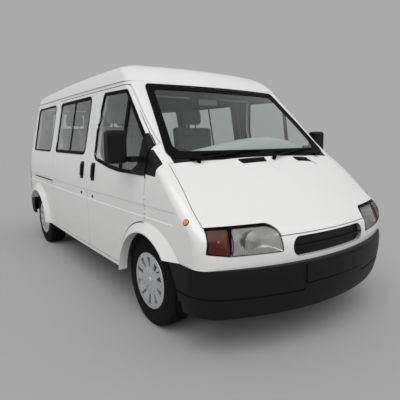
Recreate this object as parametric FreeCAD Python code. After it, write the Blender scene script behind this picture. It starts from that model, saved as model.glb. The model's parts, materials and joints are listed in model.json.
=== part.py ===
import FreeCAD, Part
import math
import os

os.makedirs("parts", exist_ok=True)
V = FreeCAD.Vector

# Overall layout, in millimetres: X forward, Y left, Z up, ground at Z 0
length = 4545.0
front_overhang = 930.0
wheelbase = 2815.0
front_axle = length / 2 - front_overhang
tail_end = -(length - front_overhang)

# Clearances
panel_gap = 6.0
flare_gap = 8.0
seat_gap = 0.3

# Wheels, tyres and arches
tyre_radius = 327.0
tyre_width = 195.0
rim_radius = 192.0
track_half = 806.0
kingpin_y = 800.0
arch_radius = 408.0
arch_forward = 52.0
arch_height = 295.0
lip_radius = 374.0
lip_forward = 60.0
lip_height = 320.0
lip_inner_y = 936.0
rear_arch_radius = 385.0
rear_arch_height = 300.0
flare_width = 118.0
flare_depth = 26.0
flare_edge = 8.0
flare_root_y = 925.0
flare_door_width = 64.0

# Body shell
sill_height = 336.0
roof_seam = 1772.0
side_curve = 62500.0
widest_x = front_axle - 1200.0
wall = 45.0
nose_wall = 60.0
flange = 14.0
step = 18.0
handle_proud = 4.0
glass_thickness = 5.0
glass_inset = 6.0
rear_corner = 290.0
tail_bulge = 0.03e-3

# Shut lines and joints between panels, measured from the front axle
door_front = 40.0
door_rear = -1020.0
slider_rear = -2130.0
door_bottom = 372.0
door_top = 1738.0
waist = 1182.0
window_top = 1712.0
pillar_low = 1150.0
frame_joint = -440.0
screen_low = 1202.0
cowl_lap = 7.0
screen_room = 14.0
screen_top = 1741.0
panel_top = 812.0
bonnet_low = 740.0
bonnet_nose_half = 530.0
panel_half = 868.0
tail_half = 668.0
tail_low = 566.0
press_low = 799.0
press_high = 882.0
press_depth = 5.0
fold_z = 546.0
fold_depth = 3.0
fold_rear = -2090.0
fold_front = -280.0
grille_low = 605.0
grille_high = 730.0

# Bumpers
bumper_top = 578.0
bumper_low = 272.0
rear_bumper_top = 560.0
rear_bumper_low = 330.0
rear_bumper_front = -3040.0
bumper_wall = 30.0
bumper_groove = 6.0
plate_pad = 10.0
plate_half = 300.0
plate_low = 455.0

# Hinges
barrel = 5.0
leaf = 14.0
leaf_reach = 18.0
door_hinge_y = 957.0
tail_hinge_x = -3546.0
bonnet_hinge_x = 210.0
bonnet_hinge_y = 640.0
bonnet_hinge_z = 1187.0

stub_radius = 28.0
hub_out = 846.0
tail_seam = 10.0
indicator_top_y = -735.0
indicator_low_y = -760.0
roof_sheet = 32.0
housing_inner = 655.0
housing_sheet = 6.0
seat_base = 800.0
wheel_y = 375.0
slot_count = 10
cover_radius = 205.0

# Cabin and underbody
floor_z = 505.0
floor_sheet = 25.0
bulkhead_x = -395.0
rail_low = 400.0
rail_high = floor_z - seat_gap
rail_inner = 380.0
rail_outer = 450.0
jack_places = (-450.0, -1950.0)
jack_pad = 60.0
jack_drop = 20.0


def at(offset):
    """X of a place given from the front axle."""
    return front_axle + offset


def rounded(points, radius):
    """Closed outline of straight runs whose corners are rounded."""
    edges = []
    starts = []
    ends = []
    mids = []
    count = len(points)
    for i in range(count):
        here = points[i]
        r = radius[i] if isinstance(radius, list) else radius
        a = (points[i - 1] - here).normalize()
        b = (points[(i + 1) % count] - here).normalize()
        half = a.getAngle(b) / 2
        if r <= 0:
            starts.append(here)
            ends.append(here)
            mids.append(None)
            continue
        reach = r / math.tan(half)
        centre = here + (a + b).normalize() * (r / math.sin(half))
        starts.append(here + a * reach)
        ends.append(here + b * reach)
        mids.append(centre + (here - centre).normalize() * r)
    for i in range(count):
        if mids[i] is not None:
            edges.append(Part.Arc(starts[i], mids[i], ends[i]).toShape())
        following = starts[(i + 1) % count]
        if ends[i].distanceToPoint(following) > 0.01:
            edges.append(Part.LineSegment(ends[i], following).toShape())
    return Part.Wire(edges)


def prism(points, run, radius, grow):
    """Solid swept along a run from an outline, rounded and then grown."""
    wire = rounded(points, radius)
    if grow:
        wire = wire.makeOffset2D(grow, 2)
    return Part.Face(wire).extrude(run)


def prism_y(outline, y0, y1, radius=0, grow=0):
    """Solid from an outline of (x from front axle, z) pairs, between two Y."""
    return prism([V(at(x), y0, z) for x, z in outline], V(0, y1 - y0, 0), radius, grow)


def prism_x(outline, x0, x1, radius=0, grow=0):
    """Solid from an outline of (y, z) pairs, between two X from the front axle."""
    return prism([V(at(x0), y, z) for y, z in outline], V(x1 - x0, 0, 0), radius, grow)


def prism_z(outline, z0, z1, radius=0, grow=0):
    """Solid from an outline of (x from front axle, y) pairs, between two Z."""
    return prism([V(at(x), y, z0) for x, y in outline], V(0, 0, z1 - z0), radius, grow)


def box(x0, x1, y0, y1, z0, z1):
    """Box with X given from the front axle."""
    return Part.makeBox(x1 - x0, y1 - y0, z1 - z0, V(at(x0), y0, z0))


def soft_box(x0, x1, y0, y1, z0, z1, radius):
    """Box with all edges rounded."""
    solid = box(x0, x1, y0, y1, z0, z1)
    return solid.makeFillet(radius, solid.Edges)


def cylinder_y(x, z, radius, y0, y1):
    return Part.makeCylinder(radius, y1 - y0, V(at(x), y0, z), V(0, 1, 0))


def fuse(shapes):
    out = shapes[0]
    if len(shapes) > 1:
        out = out.fuse(shapes[1:])
    return out.removeSplitter()


def mirrored(shape):
    """The same shape on the other side of the centre plane."""
    return shape.mirror(V(0, 0, 0), V(0, 1, 0))


def both(shape):
    return Part.makeCompound([shape, mirrored(shape)])


def on_side(shape, side):
    """A shape drawn on the left, put on the wanted side."""
    return shape if side > 0 else mirrored(shape)


def save(name, shape):
    """Write the solids of one piece to its file."""
    solids = [s for s in shape.Solids if s.Volume > 200.0]
    out = solids[0] if len(solids) == 1 else Part.makeCompound(solids)
    out.exportStep("parts/" + name + ".step")
    print(name, len(solids), "solids", round(sum(s.Volume for s in solids) / 1e6, 2), "litres", out.isValid())


# Body form: plan sections at each height (height, nose X, nose bulge, half width, tail X, front corner)
body_levels = [
    (300.0, 868.0, 0.26e-3, 952.0, -3540.0, 105.0),
    (450.0, 868.0, 0.26e-3, 957.0, -3548.0, 105.0),
    (600.0, 872.0, 0.26e-3, 961.0, -3553.0, 105.0),
    (700.0, 866.0, 0.25e-3, 963.0, -3555.0, 105.0),
    (760.0, 836.0, 0.235e-3, 964.0, -3555.0, 105.0),
    (805.0, 788.0, 0.22e-3, 964.5, -3555.0, 104.0),
    (845.0, 732.0, 0.21e-3, 964.5, -3555.0, 103.0),
    (890.0, 671.0, 0.20e-3, 964.0, -3555.0, 101.0),
    (960.0, 572.0, 0.175e-3, 961.0, -3554.0, 95.0),
    (1060.0, 424.0, 0.14e-3, 951.0, -3552.0, 80.0),
    (1150.0, 288.0, 0.12e-3, 938.5, -3548.0, 80.0),
    (1200.0, 222.0, 0.115e-3, 929.5, -3544.0, 90.0),
    (1260.0, 160.0, 0.12e-3, 917.5, -3538.0, 100.0),
    (1400.0, 26.0, 0.13e-3, 891.5, -3523.0, 105.0),
    (1600.0, -174.0, 0.145e-3, 854.5, -3495.0, 95.0),
    (1745.0, -320.0, 0.155e-3, 828.0, -3470.0, 80.0),
    (1790.0, -365.0, 0.155e-3, 819.5, -3462.0, 75.0),
]

# Roof form above the seam, in the same terms
roof_levels = [
    (1760.0, -335.0, 0.15e-3, 822.0, -3467.0, 50.0),
    (1800.0, -376.0, 0.155e-3, 812.0, -3456.0, 60.0),
    (1850.0, -436.0, 0.16e-3, 793.0, -3436.0, 80.0),
    (1890.0, -500.0, 0.17e-3, 770.0, -3408.0, 100.0),
    (1920.0, -568.0, 0.18e-3, 742.0, -3372.0, 120.0),
    (1942.0, -642.0, 0.19e-3, 706.0, -3328.0, 140.0),
    (1960.0, -740.0, 0.20e-3, 655.0, -3265.0, 150.0),
    (1975.0, -870.0, 0.21e-3, 585.0, -3180.0, 160.0),
    (1990.0, -1060.0, 0.21e-3, 490.0, -3060.0, 160.0),
]


def corner(c1, r1, c2, r2, radius, sign_x):
    """Centre and both touch points of an arc inside two large circles."""
    d1 = r1 - radius
    d2 = r2 - radius
    span = c2 - c1
    dist = span.Length
    along = (d1 * d1 - d2 * d2 + dist * dist) / (2 * dist)
    off = math.sqrt(max(d1 * d1 - along * along, 0.0))
    unit = span * (1 / dist)
    base = c1 + unit * along
    normal = V(-unit.y, unit.x, 0)
    options = [base + normal * off, base - normal * off]
    centre = max(options, key=lambda p: sign_x * p.x)
    touch1 = c1 + (centre - c1).normalize() * r1
    touch2 = c2 + (centre - c2).normalize() * r2
    return centre, touch1, touch2


def flip(p):
    """The point on the other side of the centre plane."""
    return V(p.x, -p.y, p.z)


def plan_arcs(level, side_inset, nose_inset, tail_inset, trim):
    """Eight arcs of the plan outline at one height, as start, middle, end."""
    z, nose, bulge, half_width, tail, r_front = level
    half_width = half_width - side_inset
    nose_x = at(nose) - nose_inset
    tail_x = at(tail) + tail_inset
    sagitta = bulge * half_width ** 2
    nose_r = (half_width ** 2 + sagitta ** 2) / (2 * sagitta)
    sagitta = tail_bulge * half_width ** 2
    tail_r = (half_width ** 2 + sagitta ** 2) / (2 * sagitta)
    nose_c = V(nose_x - nose_r, 0, z)
    tail_c = V(tail_x + tail_r, 0, z)
    side_c = V(widest_x, half_width - side_curve, z)
    r_front = max(r_front - trim, 8.0)
    r_rear = rear_corner - trim
    fc, f1, f2 = corner(nose_c, nose_r, side_c, side_curve, r_front, 1)
    rc, r1, r2 = corner(tail_c, tail_r, side_c, side_curve, r_rear, -1)
    f_mid = fc + ((f1 + f2) * 0.5 - fc).normalize() * r_front
    r_mid = rc + ((r1 + r2) * 0.5 - rc).normalize() * r_rear
    s_mid = side_c + ((f2 + r2) * 0.5 - side_c).normalize() * side_curve
    return [
        (flip(f1), V(nose_x, 0, z), f1),
        (f1, f_mid, f2),
        (f2, s_mid, r2),
        (r2, r_mid, r1),
        (r1, V(tail_x, 0, z), flip(r1)),
        (flip(r1), flip(r_mid), flip(r2)),
        (flip(r2), flip(s_mid), flip(f2)),
        (flip(f2), flip(f_mid), flip(f1)),
    ]


def arc_poles(arc):
    """Start, tangent crossing, end and middle weight of an arc."""
    start, middle, end = arc
    edge = Part.Arc(start, middle, end).toShape()
    half = (edge.LastParameter - edge.FirstParameter) / 2
    centre = edge.Curve.Center
    weight = math.cos(half)
    return start, centre + (middle - centre) * (1 / weight), end, weight


def swept_face(rows):
    """Smooth face through one arc at every height."""
    heights = [row[0].z for row in rows]
    poles = []
    weights = []
    for j in range(3):
        w = [row[3] if j == 1 else 1.0 for row in rows]
        places = Part.BSplineCurve()
        places.interpolate(Points=[row[j] * wi for row, wi in zip(rows, w)], Parameters=heights)
        pulls = Part.BSplineCurve()
        pulls.interpolate(Points=[V(wi, row[j].z, 0) for row, wi in zip(rows, w)], Parameters=heights)
        scale = [p.x for p in pulls.getPoles()]
        poles.append([p * (1 / s) for p, s in zip(places.getPoles(), scale)])
        weights.append(scale)
    surface = Part.BSplineSurface()
    surface.buildFromPolesMultsKnots(poles, [3, 3], places.getMultiplicities(), [0.0, 1.0],
                                     places.getKnots(), False, False, 2, places.Degree, weights)
    return surface.toShape()


def form(levels, side_inset=0.0, nose_inset=0.0, tail_inset=0.0, trim=0.0, drop=0.0):
    """Smooth solid through the plan outlines of all levels."""
    stack = []
    for level in levels:
        stack.append(plan_arcs((level[0] - drop,) + level[1:], side_inset, nose_inset, tail_inset, trim))
    faces = [swept_face([arc_poles(arcs[k]) for arcs in stack]) for k in range(8)]
    for arcs in (stack[0], stack[-1]):
        faces.append(Part.Face(Part.Wire([Part.Arc(*arc).toShape() for arc in arcs])))
    shell = Part.makeShell(faces)
    shell.sewShape()
    solid = Part.Solid(shell)
    if solid.Volume < 0:
        solid.reverse()
    return solid


outer = form(body_levels)
inner = form(body_levels, wall, nose_wall, wall, wall * 0.6)
middle = form(body_levels, flange, flange * 1.4, flange, flange * 0.6)
proud = form(body_levels, -handle_proud, -handle_proud, -handle_proud, -handle_proud)
clear_of_body = form(body_levels, -seat_gap, -seat_gap, -seat_gap, -seat_gap)
pocket = form(body_levels, 10.0, 14.0, 10.0, 6.0)
glass_out = form(body_levels, glass_inset, glass_inset * 1.3, glass_inset, 4.0)
glass_depth = glass_inset + glass_thickness
glass_in = form(body_levels, glass_depth, glass_depth * 1.3, glass_depth, 7.0)
band = box(-3800, 1100, -1200, 1200, sill_height, roof_seam)
skin = outer.common(band).cut(inner)
skin_out = skin.cut(middle)
skin_in = skin.common(middle)
pane = glass_out.common(band).cut(glass_in)
plate = proud.common(band).cut(pocket)


def side_cut(outline, side, radius=0, grow=0):
    """Cutter through one side wall, from a side view outline."""
    return prism_y(outline, side * 1250.0, side * 560.0, radius, grow)


def arch_cut(centre, radius, side):
    low, high = sorted((side * 1250.0, side * 560.0))
    return cylinder_y(centre[0], centre[1], radius, low, high)


def tail_cut(y0, y1, z0, z1):
    return prism_x([(y0, z0), (y0, z1), (y1, z1), (y1, z0)], -3800.0, -3300.0)


def stepped(full, small):
    """Door slab whose outer flange is wider than its inner frame."""
    return fuse([skin_out.common(full), skin_in.common(small)])


# Side view outlines, as (x from front axle, z)
front_door_outline = [
    (door_front, door_bottom),
    (door_front, 1292.0),
    (-427.0, door_top),
    (door_rear, door_top),
    (door_rear, door_bottom),
]
slider_outline = [
    (door_rear - panel_gap, door_bottom),
    (door_rear - panel_gap, door_top),
    (slider_rear, door_top),
    (slider_rear, door_bottom),
]
front_window = [
    (15.0, 1076.0),
    (15.0, 1286.0),
    (-415.0, 1702.0),
    (-845.0, window_top),
    (-905.0, 1406.0),
    (-874.0, 1200.0),
    (-780.0, 1145.0),
    (-550.0, 1098.0),
    (-356.0, 1080.0),
]
front_window_corners = [12.0, 30.0, 35.0, 45.0, 200.0, 90.0, 90.0, 200.0, 300.0]
slider_window = [(-1125.0, waist), (-1125.0, window_top), (-2080.0, window_top), (-2080.0, waist)]
quarter_window = [(-2275.0, waist), (-2275.0, window_top), (-3120.0, window_top), (-3120.0, waist)]
tail_window = [(590.0, 1175.0), (545.0, 1690.0), (75.0, 1690.0), (75.0, 1175.0)]
sail_outline = [
    (36.0, 1080.0),
    (36.0, 1288.0),
    (-56.0, 1376.0),
    (-60.0, 1260.0),
    (-82.0, 1150.0),
    (-170.0, 1100.0),
    (-170.0, 1080.0),
]
corner_plate = [(door_front + panel_gap, 1088.0), (door_front + panel_gap, 1262.0), (180.0, 1160.0), (172.0, 1080.0)]

front_arch = (arch_forward, arch_height)
front_lip = (lip_forward, lip_height)
rear_arch = (-wheelbase, rear_arch_height)
lip = lip_radius + flare_door_width

# Cutters shared by the panels
bonnet_plan = [(190.0, 835.0), (232.0, 420.0), (240.0, 0.0), (232.0, -420.0), (190.0, -835.0), (315.0, -846.0),
               (412.0, -858.0), (500.0, -869.0), (620.0, -872.0), (1000.0, -872.0), (1000.0, 872.0), (620.0, 872.0),
               (500.0, 869.0), (412.0, 858.0), (315.0, 846.0)]
lamp_outline = [
    (-898.0, 674.0),
    (-874.0, panel_top),
    (-438.0, panel_top),
    (-429.0, 650.0),
    (-760.0, 652.0),
]
lamp_corners = [10.0, 6.0, 72.0, 12.0, 0.0]
grille_outline = [(-360.0, grille_low), (-360.0, grille_high), (360.0, grille_high), (360.0, grille_low)]


bonnet_space = prism_z(bonnet_plan, panel_top, 1400.0, 0, panel_gap)
bonnet_space = bonnet_space.fuse(box(500.0, 1100.0, -bonnet_nose_half, bonnet_nose_half, bonnet_low, 900.0))
bonnet_solid = prism_z(bonnet_plan, panel_top + panel_gap, 1400.0)
bonnet_solid = bonnet_solid.fuse(box(500.0, 1100.0, 10.0 - bonnet_nose_half, bonnet_nose_half - 10.0,
                                     bonnet_low + panel_gap, 900.0))
cowl_space = box(60.0, 260.0, -800.0, 800.0, 1090.0, screen_low + cowl_lap).cut(bonnet_space)
screen_outline = [(-812.0, screen_low), (-683.0, screen_top), (683.0, screen_top), (812.0, screen_low)]
screen_cut = prism_x(screen_outline, -700.0, 700.0, 40.0)
lamp_cuts = prism_x(lamp_outline, 300.0, 1100.0, lamp_corners)
lamp_cuts = lamp_cuts.fuse(mirrored(lamp_cuts))
lamp_spaces = prism_x(lamp_outline, 300.0, 1100.0, lamp_corners, panel_gap)
lamp_spaces = lamp_spaces.fuse(mirrored(lamp_spaces))
grille_cut = prism_x(grille_outline, 600.0, 1100.0, (grille_high - grille_low) / 2 - 1.0)
door_spaces = {}
door_solids = {}
slider_space = side_cut(slider_outline, -1, 30.0, panel_gap)
for side in (-1, 1):
    space = side_cut(front_door_outline, side, 0, panel_gap)
    door_spaces[side] = space.cut(arch_cut(front_lip, lip, side)).cut(arch_cut(front_arch, arch_radius, side))
    full = side_cut(front_door_outline, side).cut(arch_cut(front_lip, lip + flare_gap, side))
    full = full.cut(arch_cut(front_arch, arch_radius + flare_gap, side))
    small = side_cut(front_door_outline, side, 0, -step).cut(arch_cut(front_lip, lip + step, side))
    small = small.cut(arch_cut(front_arch, arch_radius + step, side))
    door_solids[side] = stepped(full, small).cut(prism_x(screen_outline, -700.0, 700.0, 40.0, screen_room))


def side_ring(points, y, side):
    """Ring swept along the side's plan curve from (depth, z) points, depth counted inwards."""
    profile = [V(widest_x, side * (y - depth), z) for depth, z in points]
    pivot = V(widest_x, side * (y - side_curve), 0)
    face = Part.Face(Part.makePolygon(profile + profile[:1]))
    face.rotate(pivot, V(0, 0, 1), side * -1.48)
    return face.revolve(pivot, V(0, 0, 1), side * 3.6)


band_profile = [
    (press_depth, press_low + press_depth),
    (-40.0, press_low - 40.0),
    (-40.0, press_high + 40.0),
    (press_depth, press_high - press_depth),
]
fold_profile = [(fold_depth, fold_z), (-10.0, fold_z - 12.0), (-10.0, fold_z + 6.0)]
bands = {}
for side in (-1, 1):
    fold = side_ring(fold_profile, 959.6, side).common(box(fold_rear, fold_front, -1200.0, 1200.0, 0.0, 2000.0))
    bands[side] = side_ring(band_profile, 964.0, side).fuse(fold)


def flare(centre, radius, side, x_low, x_high, z_low, width):
    """Raised lip around a wheel arch, sloping from the body out to its edge, kept between two X."""
    y_out = 964.0 + flare_depth
    cone = Part.makeCone(radius + flare_width, radius + flare_edge, y_out - flare_root_y,
                         V(at(centre[0]), flare_root_y, centre[1]), V(0, 1, 0))
    ring = cone.cut(cylinder_y(centre[0], centre[1], radius, 900.0, 1100.0))
    ring = ring.common(cylinder_y(centre[0], centre[1], radius + width, 900.0, 1100.0))
    ring = ring.common(box(x_low, x_high, 800.0, 1100.0, z_low, 1000.0))
    return on_side(ring, side)


def hinge(centre, axis, moving, fixed):
    """Barrel hinge on an axis: the moving leaf, the fixed leaf with its pin, and their clearance."""
    pin_radius = barrel * 0.45
    middle_barrel = Part.makeCylinder(barrel, leaf, centre - axis * (leaf / 2), axis)
    pin = Part.makeCylinder(pin_radius, 3 * leaf, centre - axis * (1.5 * leaf), axis)

    def bar(direction, shift):
        across = axis.cross(direction) * (barrel / 2)
        low = centre + axis * (shift - leaf / 2)
        high = low + axis * leaf
        outline = [low - across, low + across, high + across, high - across, low - across]
        return Part.Face(Part.makePolygon(outline)).extrude(direction * leaf_reach)

    bore = Part.makeCylinder(pin_radius + seat_gap, 3 * leaf, centre - axis * (1.5 * leaf), axis)
    move = middle_barrel.fuse(bar(moving, 0.0)).cut(bore)
    fix = pin
    for shift in (-leaf - seat_gap, leaf + seat_gap):
        end_barrel = Part.makeCylinder(barrel, leaf, centre + axis * (shift - leaf / 2), axis)
        fix = fix.fuse([end_barrel, bar(fixed, shift)])
    room = Part.makeCylinder(barrel + 1.5, 3 * leaf + 4.0, centre - axis * (1.5 * leaf + 2.0), axis)
    return move, fix, room


# Room of the front wheels inside the arch lips
arch_rooms = {side: on_side(cylinder_y(front_arch[0], front_arch[1], arch_radius, 560.0, lip_inner_y), side)
              for side in (-1, 1)}

# Fixed side walls
sides = {}
for side in (-1, 1):
    y_low, y_high = (-1200.0, 0.0) if side < 0 else (0.0, 1200.0)
    shell = skin.common(box(-3800.0, door_front, y_low, y_high, 0.0, 2000.0))
    shell = shell.cut(box(frame_joint, 200.0, -1200, 1200, pillar_low, 2000.0))
    shell = shell.cut(door_spaces[side])
    shell = shell.cut(tail_cut(-tail_half, tail_half, tail_low, 1733.0))
    shell = shell.cut(side_cut(quarter_window, side, 60.0))
    if side < 0:
        shell = shell.cut(slider_space)
    else:
        shell = shell.cut(side_cut(slider_window, side, 60.0))
    shell = shell.cut(bands[side])
    shell = shell.cut(arch_rooms[side])
    front_edge = flare(front_lip, lip_radius, side, -1000.0, door_front, sill_height, flare_door_width)
    rear_edge = flare(rear_arch, rear_arch_radius, side, -3700.0, -2000.0, sill_height, flare_width)
    shell = fuse([shell, front_edge, rear_edge])
    shell = shell.cut(arch_cut(rear_arch, rear_arch_radius, side))
    shell = shell.cut(arch_cut(front_lip, lip_radius, side))
    shell = shell.cut(box(-3800.0, rear_bumper_front, -1200, 1200, 0, rear_bumper_top + seat_gap))
    shell = shell.cut(box(door_front - 1.0, 1200.0, -1200, 1200, 0, 2000.0))
    sides[side] = shell

# Windscreen frame with both front pillars
frame = skin.common(box(frame_joint, 400.0, -1200, 1200, pillar_low, roof_seam))
cowl_cut = box(60.0, 400.0, -800.0, 800.0, 1000.0, screen_low + cowl_lap)
corner_cuts = [side_cut(corner_plate, side, 8.0) for side in (-1, 1)]
frame = frame.cut([screen_cut, door_spaces[-1], door_spaces[1], cowl_cut, bonnet_space] + corner_cuts)
save("windscreen_frame", frame)

# Wings, front panel and bonnet
nose_shell = skin.common(box(door_front, 1200.0, -1200, 1200, bumper_top + seat_gap, pillar_low))
nose_shell = nose_shell.cut(bonnet_space).cut(cowl_space).cut(lamp_cuts).cut(door_spaces[-1]).cut(door_spaces[1])
nose_shell = nose_shell.cut(side_cut(corner_plate, -1, 8.0)).cut(side_cut(corner_plate, 1, 8.0))
wing_pieces = {}
for side in (-1, 1):
    y_low, y_high = (-1200.0, -panel_half) if side < 0 else (panel_half, 1200.0)
    outside = box(0.0, 1200.0, y_low, y_high, 0, 2000.0)
    behind = box(0.0, 520.0, min(0, side * 1200.0), max(0, side * 1200.0), 0, 2000.0)
    above = box(0.0, 1200.0, min(0, side * 1200.0), max(0, side * 1200.0), panel_top, 2000.0)
    piece = nose_shell.common(outside.fuse([behind, above]))
    piece = piece.cut(bands[side].common(box(0, 400, -1200, 1200, 0, 2000))).cut(arch_rooms[side])
    edge_piece = flare(front_lip, lip_radius, side, door_front, 900.0, bumper_top + seat_gap, flare_width)
    piece = fuse([piece, edge_piece])
    piece = piece.cut(arch_cut(front_lip, lip_radius, side))
    wing_pieces[side] = piece
front_face = nose_shell.common(box(520.0, 1200.0, -panel_half, panel_half, 0, panel_top)).cut(grille_cut)
save("front_panel", front_face)
bonnet_shell = skin.common(bonnet_solid).cut(lamp_spaces)

# Hinges of the doors and the bonnet
door_hinge_x = door_front + panel_gap / 2
hinge_heights = [822.0, 920.0]
tail_hinge_y = tail_half - panel_gap / 2
for side in (-1, 1):
    for z in hinge_heights:
        spot = V(at(door_hinge_x), side * door_hinge_y, z)
        move, fix, room = hinge(spot, V(0, 0, 1), V(-0.6, -0.8 * side, 0), V(0.6, -0.8 * side, 0))
        door_solids[side] = door_solids[side].cut(room)
        wing_pieces[side] = wing_pieces[side].cut(room)
        door_solids[side] = fuse([door_solids[side], move])
        wing_pieces[side] = fuse([wing_pieces[side], fix])
save("wings", Part.makeCompound([wing_pieces[-1], wing_pieces[1]]))

names = {-1: "right", 1: "left"}
fitting_outline = [(-920.0, 975.0), (-920.0, 1118.0), (-850.0, 1118.0), (-850.0, 975.0)]
slider_handle = [(-1188.0, 975.0), (-1188.0, 1118.0), (-1118.0, 1118.0), (-1118.0, 975.0)]
for side in (-1, 1):
    door = door_solids[side].cut(side_cut(front_window, side, front_window_corners))
    door = door.cut(bands[side])
    well = outer.cut(pocket).common(side_cut(fitting_outline, side, 10.0))
    door = door.cut(well)
    save("front_door_" + names[side], door)
    glass = pane.common(side_cut(front_window, side, front_window_corners, -seat_gap))
    save("front_door_glass_" + names[side], glass)
    handle = plate.common(side_cut(fitting_outline, side, 10.0, -seat_gap))
    head = soft_box(-168.0, -72.0, 1002.0, 1140.0, 1158.0, 1384.0, 26.0)
    arm = box(-130.0, 0.0, 880.0, 1012.0, 1172.0, 1206.0)
    sail = proud.common(side_cut(sail_outline, 1, 8.0))
    mirror = fuse([head, arm, sail]).cut(clear_of_body)
    mirror = max(mirror.Solids, key=lambda s: s.Volume)
    mirror = on_side(mirror, side)
    save("door_fittings_" + names[side], Part.makeCompound([handle, mirror]))

# Sliding door, fixed shut
slider_face = side_cut(slider_outline, -1, 30.0)
slider_seal = side_cut(slider_outline, -1, 30.0, panel_gap - seat_gap)
slider = stepped(slider_face, slider_seal.cut(door_spaces[-1]))
slider = slider.cut(side_cut(slider_window, -1, 60.0)).cut(bands[-1])
well = outer.cut(pocket).common(side_cut(slider_handle, -1, 10.0))
save("sliding_door", slider.cut(well))
slider_grip = plate.common(side_cut(slider_handle, -1, 10.0, -seat_gap))

# Rear doors
for side in (-1, 1):
    edge = tail_half - panel_gap
    near = tail_seam / 2
    full = tail_cut(side * near, side * edge, tail_low + panel_gap, 1727.0)
    small = tail_cut(side * (near + step), side * (edge - step), tail_low + panel_gap + step, 1727.0 - step)
    door = stepped(full, small)
    window = [(side * y, z) for y, z in tail_window]
    cutter = prism_x(window, -3800.0, -3300.0, 45.0)
    door = door.cut(cutter)
    for z in (760.0, 1060.0):
        spot = V(at(tail_hinge_x), side * tail_hinge_y, z)
        move, fix, room = hinge(spot, V(0, 0, 1), V(0.8, -0.6 * side, 0), V(0.8, 0.6 * side, 0))
        door = fuse([door.cut(room), move])
        sides[side] = fuse([sides[side].cut(room), fix])
    save("rear_door_" + names[side], door)
    save("rear_door_glass_" + names[side], pane.common(prism_x(window, -3800.0, -3300.0, 45.0, -seat_gap)))
save("side_panel_right", sides[-1])
save("side_panel_left", sides[1])

# Bonnet on its two hinges, and the cowl strip behind it
cowl = skin.common(cowl_space).cut(screen_cut)
for side in (-1, 1):
    spot = V(at(bonnet_hinge_x), side * bonnet_hinge_y, bonnet_hinge_z)
    move, fix, room = hinge(spot, V(0, 1, 0), V(0.312, 0, -0.95), V(-0.957, 0, -0.29))
    bonnet_shell = fuse([bonnet_shell.cut(room), move])
    cowl = fuse([cowl.cut(room), fix])
save("bonnet", bonnet_shell)

# Dark trim: cowl strip, corner plates and grille insert
insert_shell = form(body_levels, 30.0, 30.0, 30.0, 20.0).cut(inner)
grille_solid = prism_x(grille_outline, 600.0, 1100.0, (grille_high - grille_low) / 2 - 1.0, -seat_gap)
insert = insert_shell.common(grille_solid)
bar_z = (grille_low + grille_high) / 2
bars = skin.common(grille_solid).common(box(400.0, 1000.0, -355.0, 355.0, bar_z - 5.0, bar_z + 5.0))
plates = []
for side in (-1, 1):
    corner_solid = side_cut(corner_plate, side, 8.0, -seat_gap)
    plates.append(skin.common(corner_solid).cut(door_spaces[side]).common(box(0.0, 260.0, -1200, 1200, 0, 2000)))
save("black_trim", Part.makeCompound([cowl, fuse([insert, bars])] + plates + [slider_grip]))

# Lamps
lamp_body = skin.common(box(300.0, 1100.0, -1000, 0, 600.0, 900.0)).common(
    prism_x(lamp_outline, 300.0, 1100.0, lamp_corners, -seat_gap))
indicator_zone = [(-1200.0, 600.0), (-1200.0, 900.0), (indicator_top_y, 900.0), (indicator_top_y, panel_top),
                  (indicator_low_y, 652.0), (indicator_low_y, 600.0)]
save("headlamps", both(lamp_body.cut(prism_x(indicator_zone, 0.0, 1200.0))))
indicator = lamp_body.common(prism_x(indicator_zone, 0.0, 1200.0, 0, -seat_gap))
repeater = cylinder_y(522.0, 843.0, 17.0, -1000.0, -860.0).common(form(body_levels, -9.0, -9.0, -9.0, -9.0)).cut(outer)
save("indicators", both(Part.makeCompound([indicator, repeater])))
tail_lamp = form(body_levels, -6.0, -6.0, -6.0, -6.0).cut(outer).common(
    box(-3700.0, -3330.0, 690.0, 1000.0, 640.0, 980.0)).common(band)
save("tail_lamps", both(tail_lamp))

# Roof
ridge = [(-3850.0, 1862.0), (-3300.0, 1918.0), (-2700.0, 1953.0), (-2100.0, 1976.0), (-1500.0, 1988.0),
         (-1000.0, 1990.0), (-600.0, 1982.0), (-200.0, 1962.0), (200.0, 1935.0)]


def crown(drop):
    """Everything under the crowned roof surface."""
    grid = []
    for x, z in ridge:
        row = []
        for i in range(-4, 5):
            s = i / 4.0 * 1.3
            row.append(V(at(x), s * 700.0, z - drop - 40.0 * s ** 2 - 22.0 * s ** 4))
        grid.append(row)
    surface = Part.BSplineSurface()
    surface.interpolate(grid)
    return surface.toShape().extrude(V(0, 0, -700.0))


roof_outer = form(roof_levels).common(crown(0.0)).common(box(-3900, 300, -1200, 1200, roof_seam, 2100))
roof_inner = form(roof_levels, 38.0, 60.0, 40.0, 20.0).common(crown(roof_sheet))
gutter = form(body_levels, -7.0, -7.0, -7.0, -7.0).common(box(-3900.0, -460.0, -1200, 1200, roof_seam, roof_seam + 12.0))
gutter = gutter.cut(form(body_levels, 20.0, 20.0, 20.0, 10.0))
save("roof_panel", fuse([roof_outer.cut(roof_inner), gutter.cut(roof_outer)]))

# Glass of the windscreen and the fixed side windows
screen = pane.common(prism_x(screen_outline, -700.0, 700.0, 40.0, -seat_gap)).common(box(-600, 400, -1200, 1200, 0, 2000))
panes = [screen]
for side in (-1, 1):
    panes.append(pane.common(side_cut(quarter_window, side, 60.0, -seat_gap)))
    panes.append(pane.common(side_cut(slider_window, side, 60.0, -seat_gap)))
save("fixed_glass", Part.makeCompound(panes))

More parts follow.
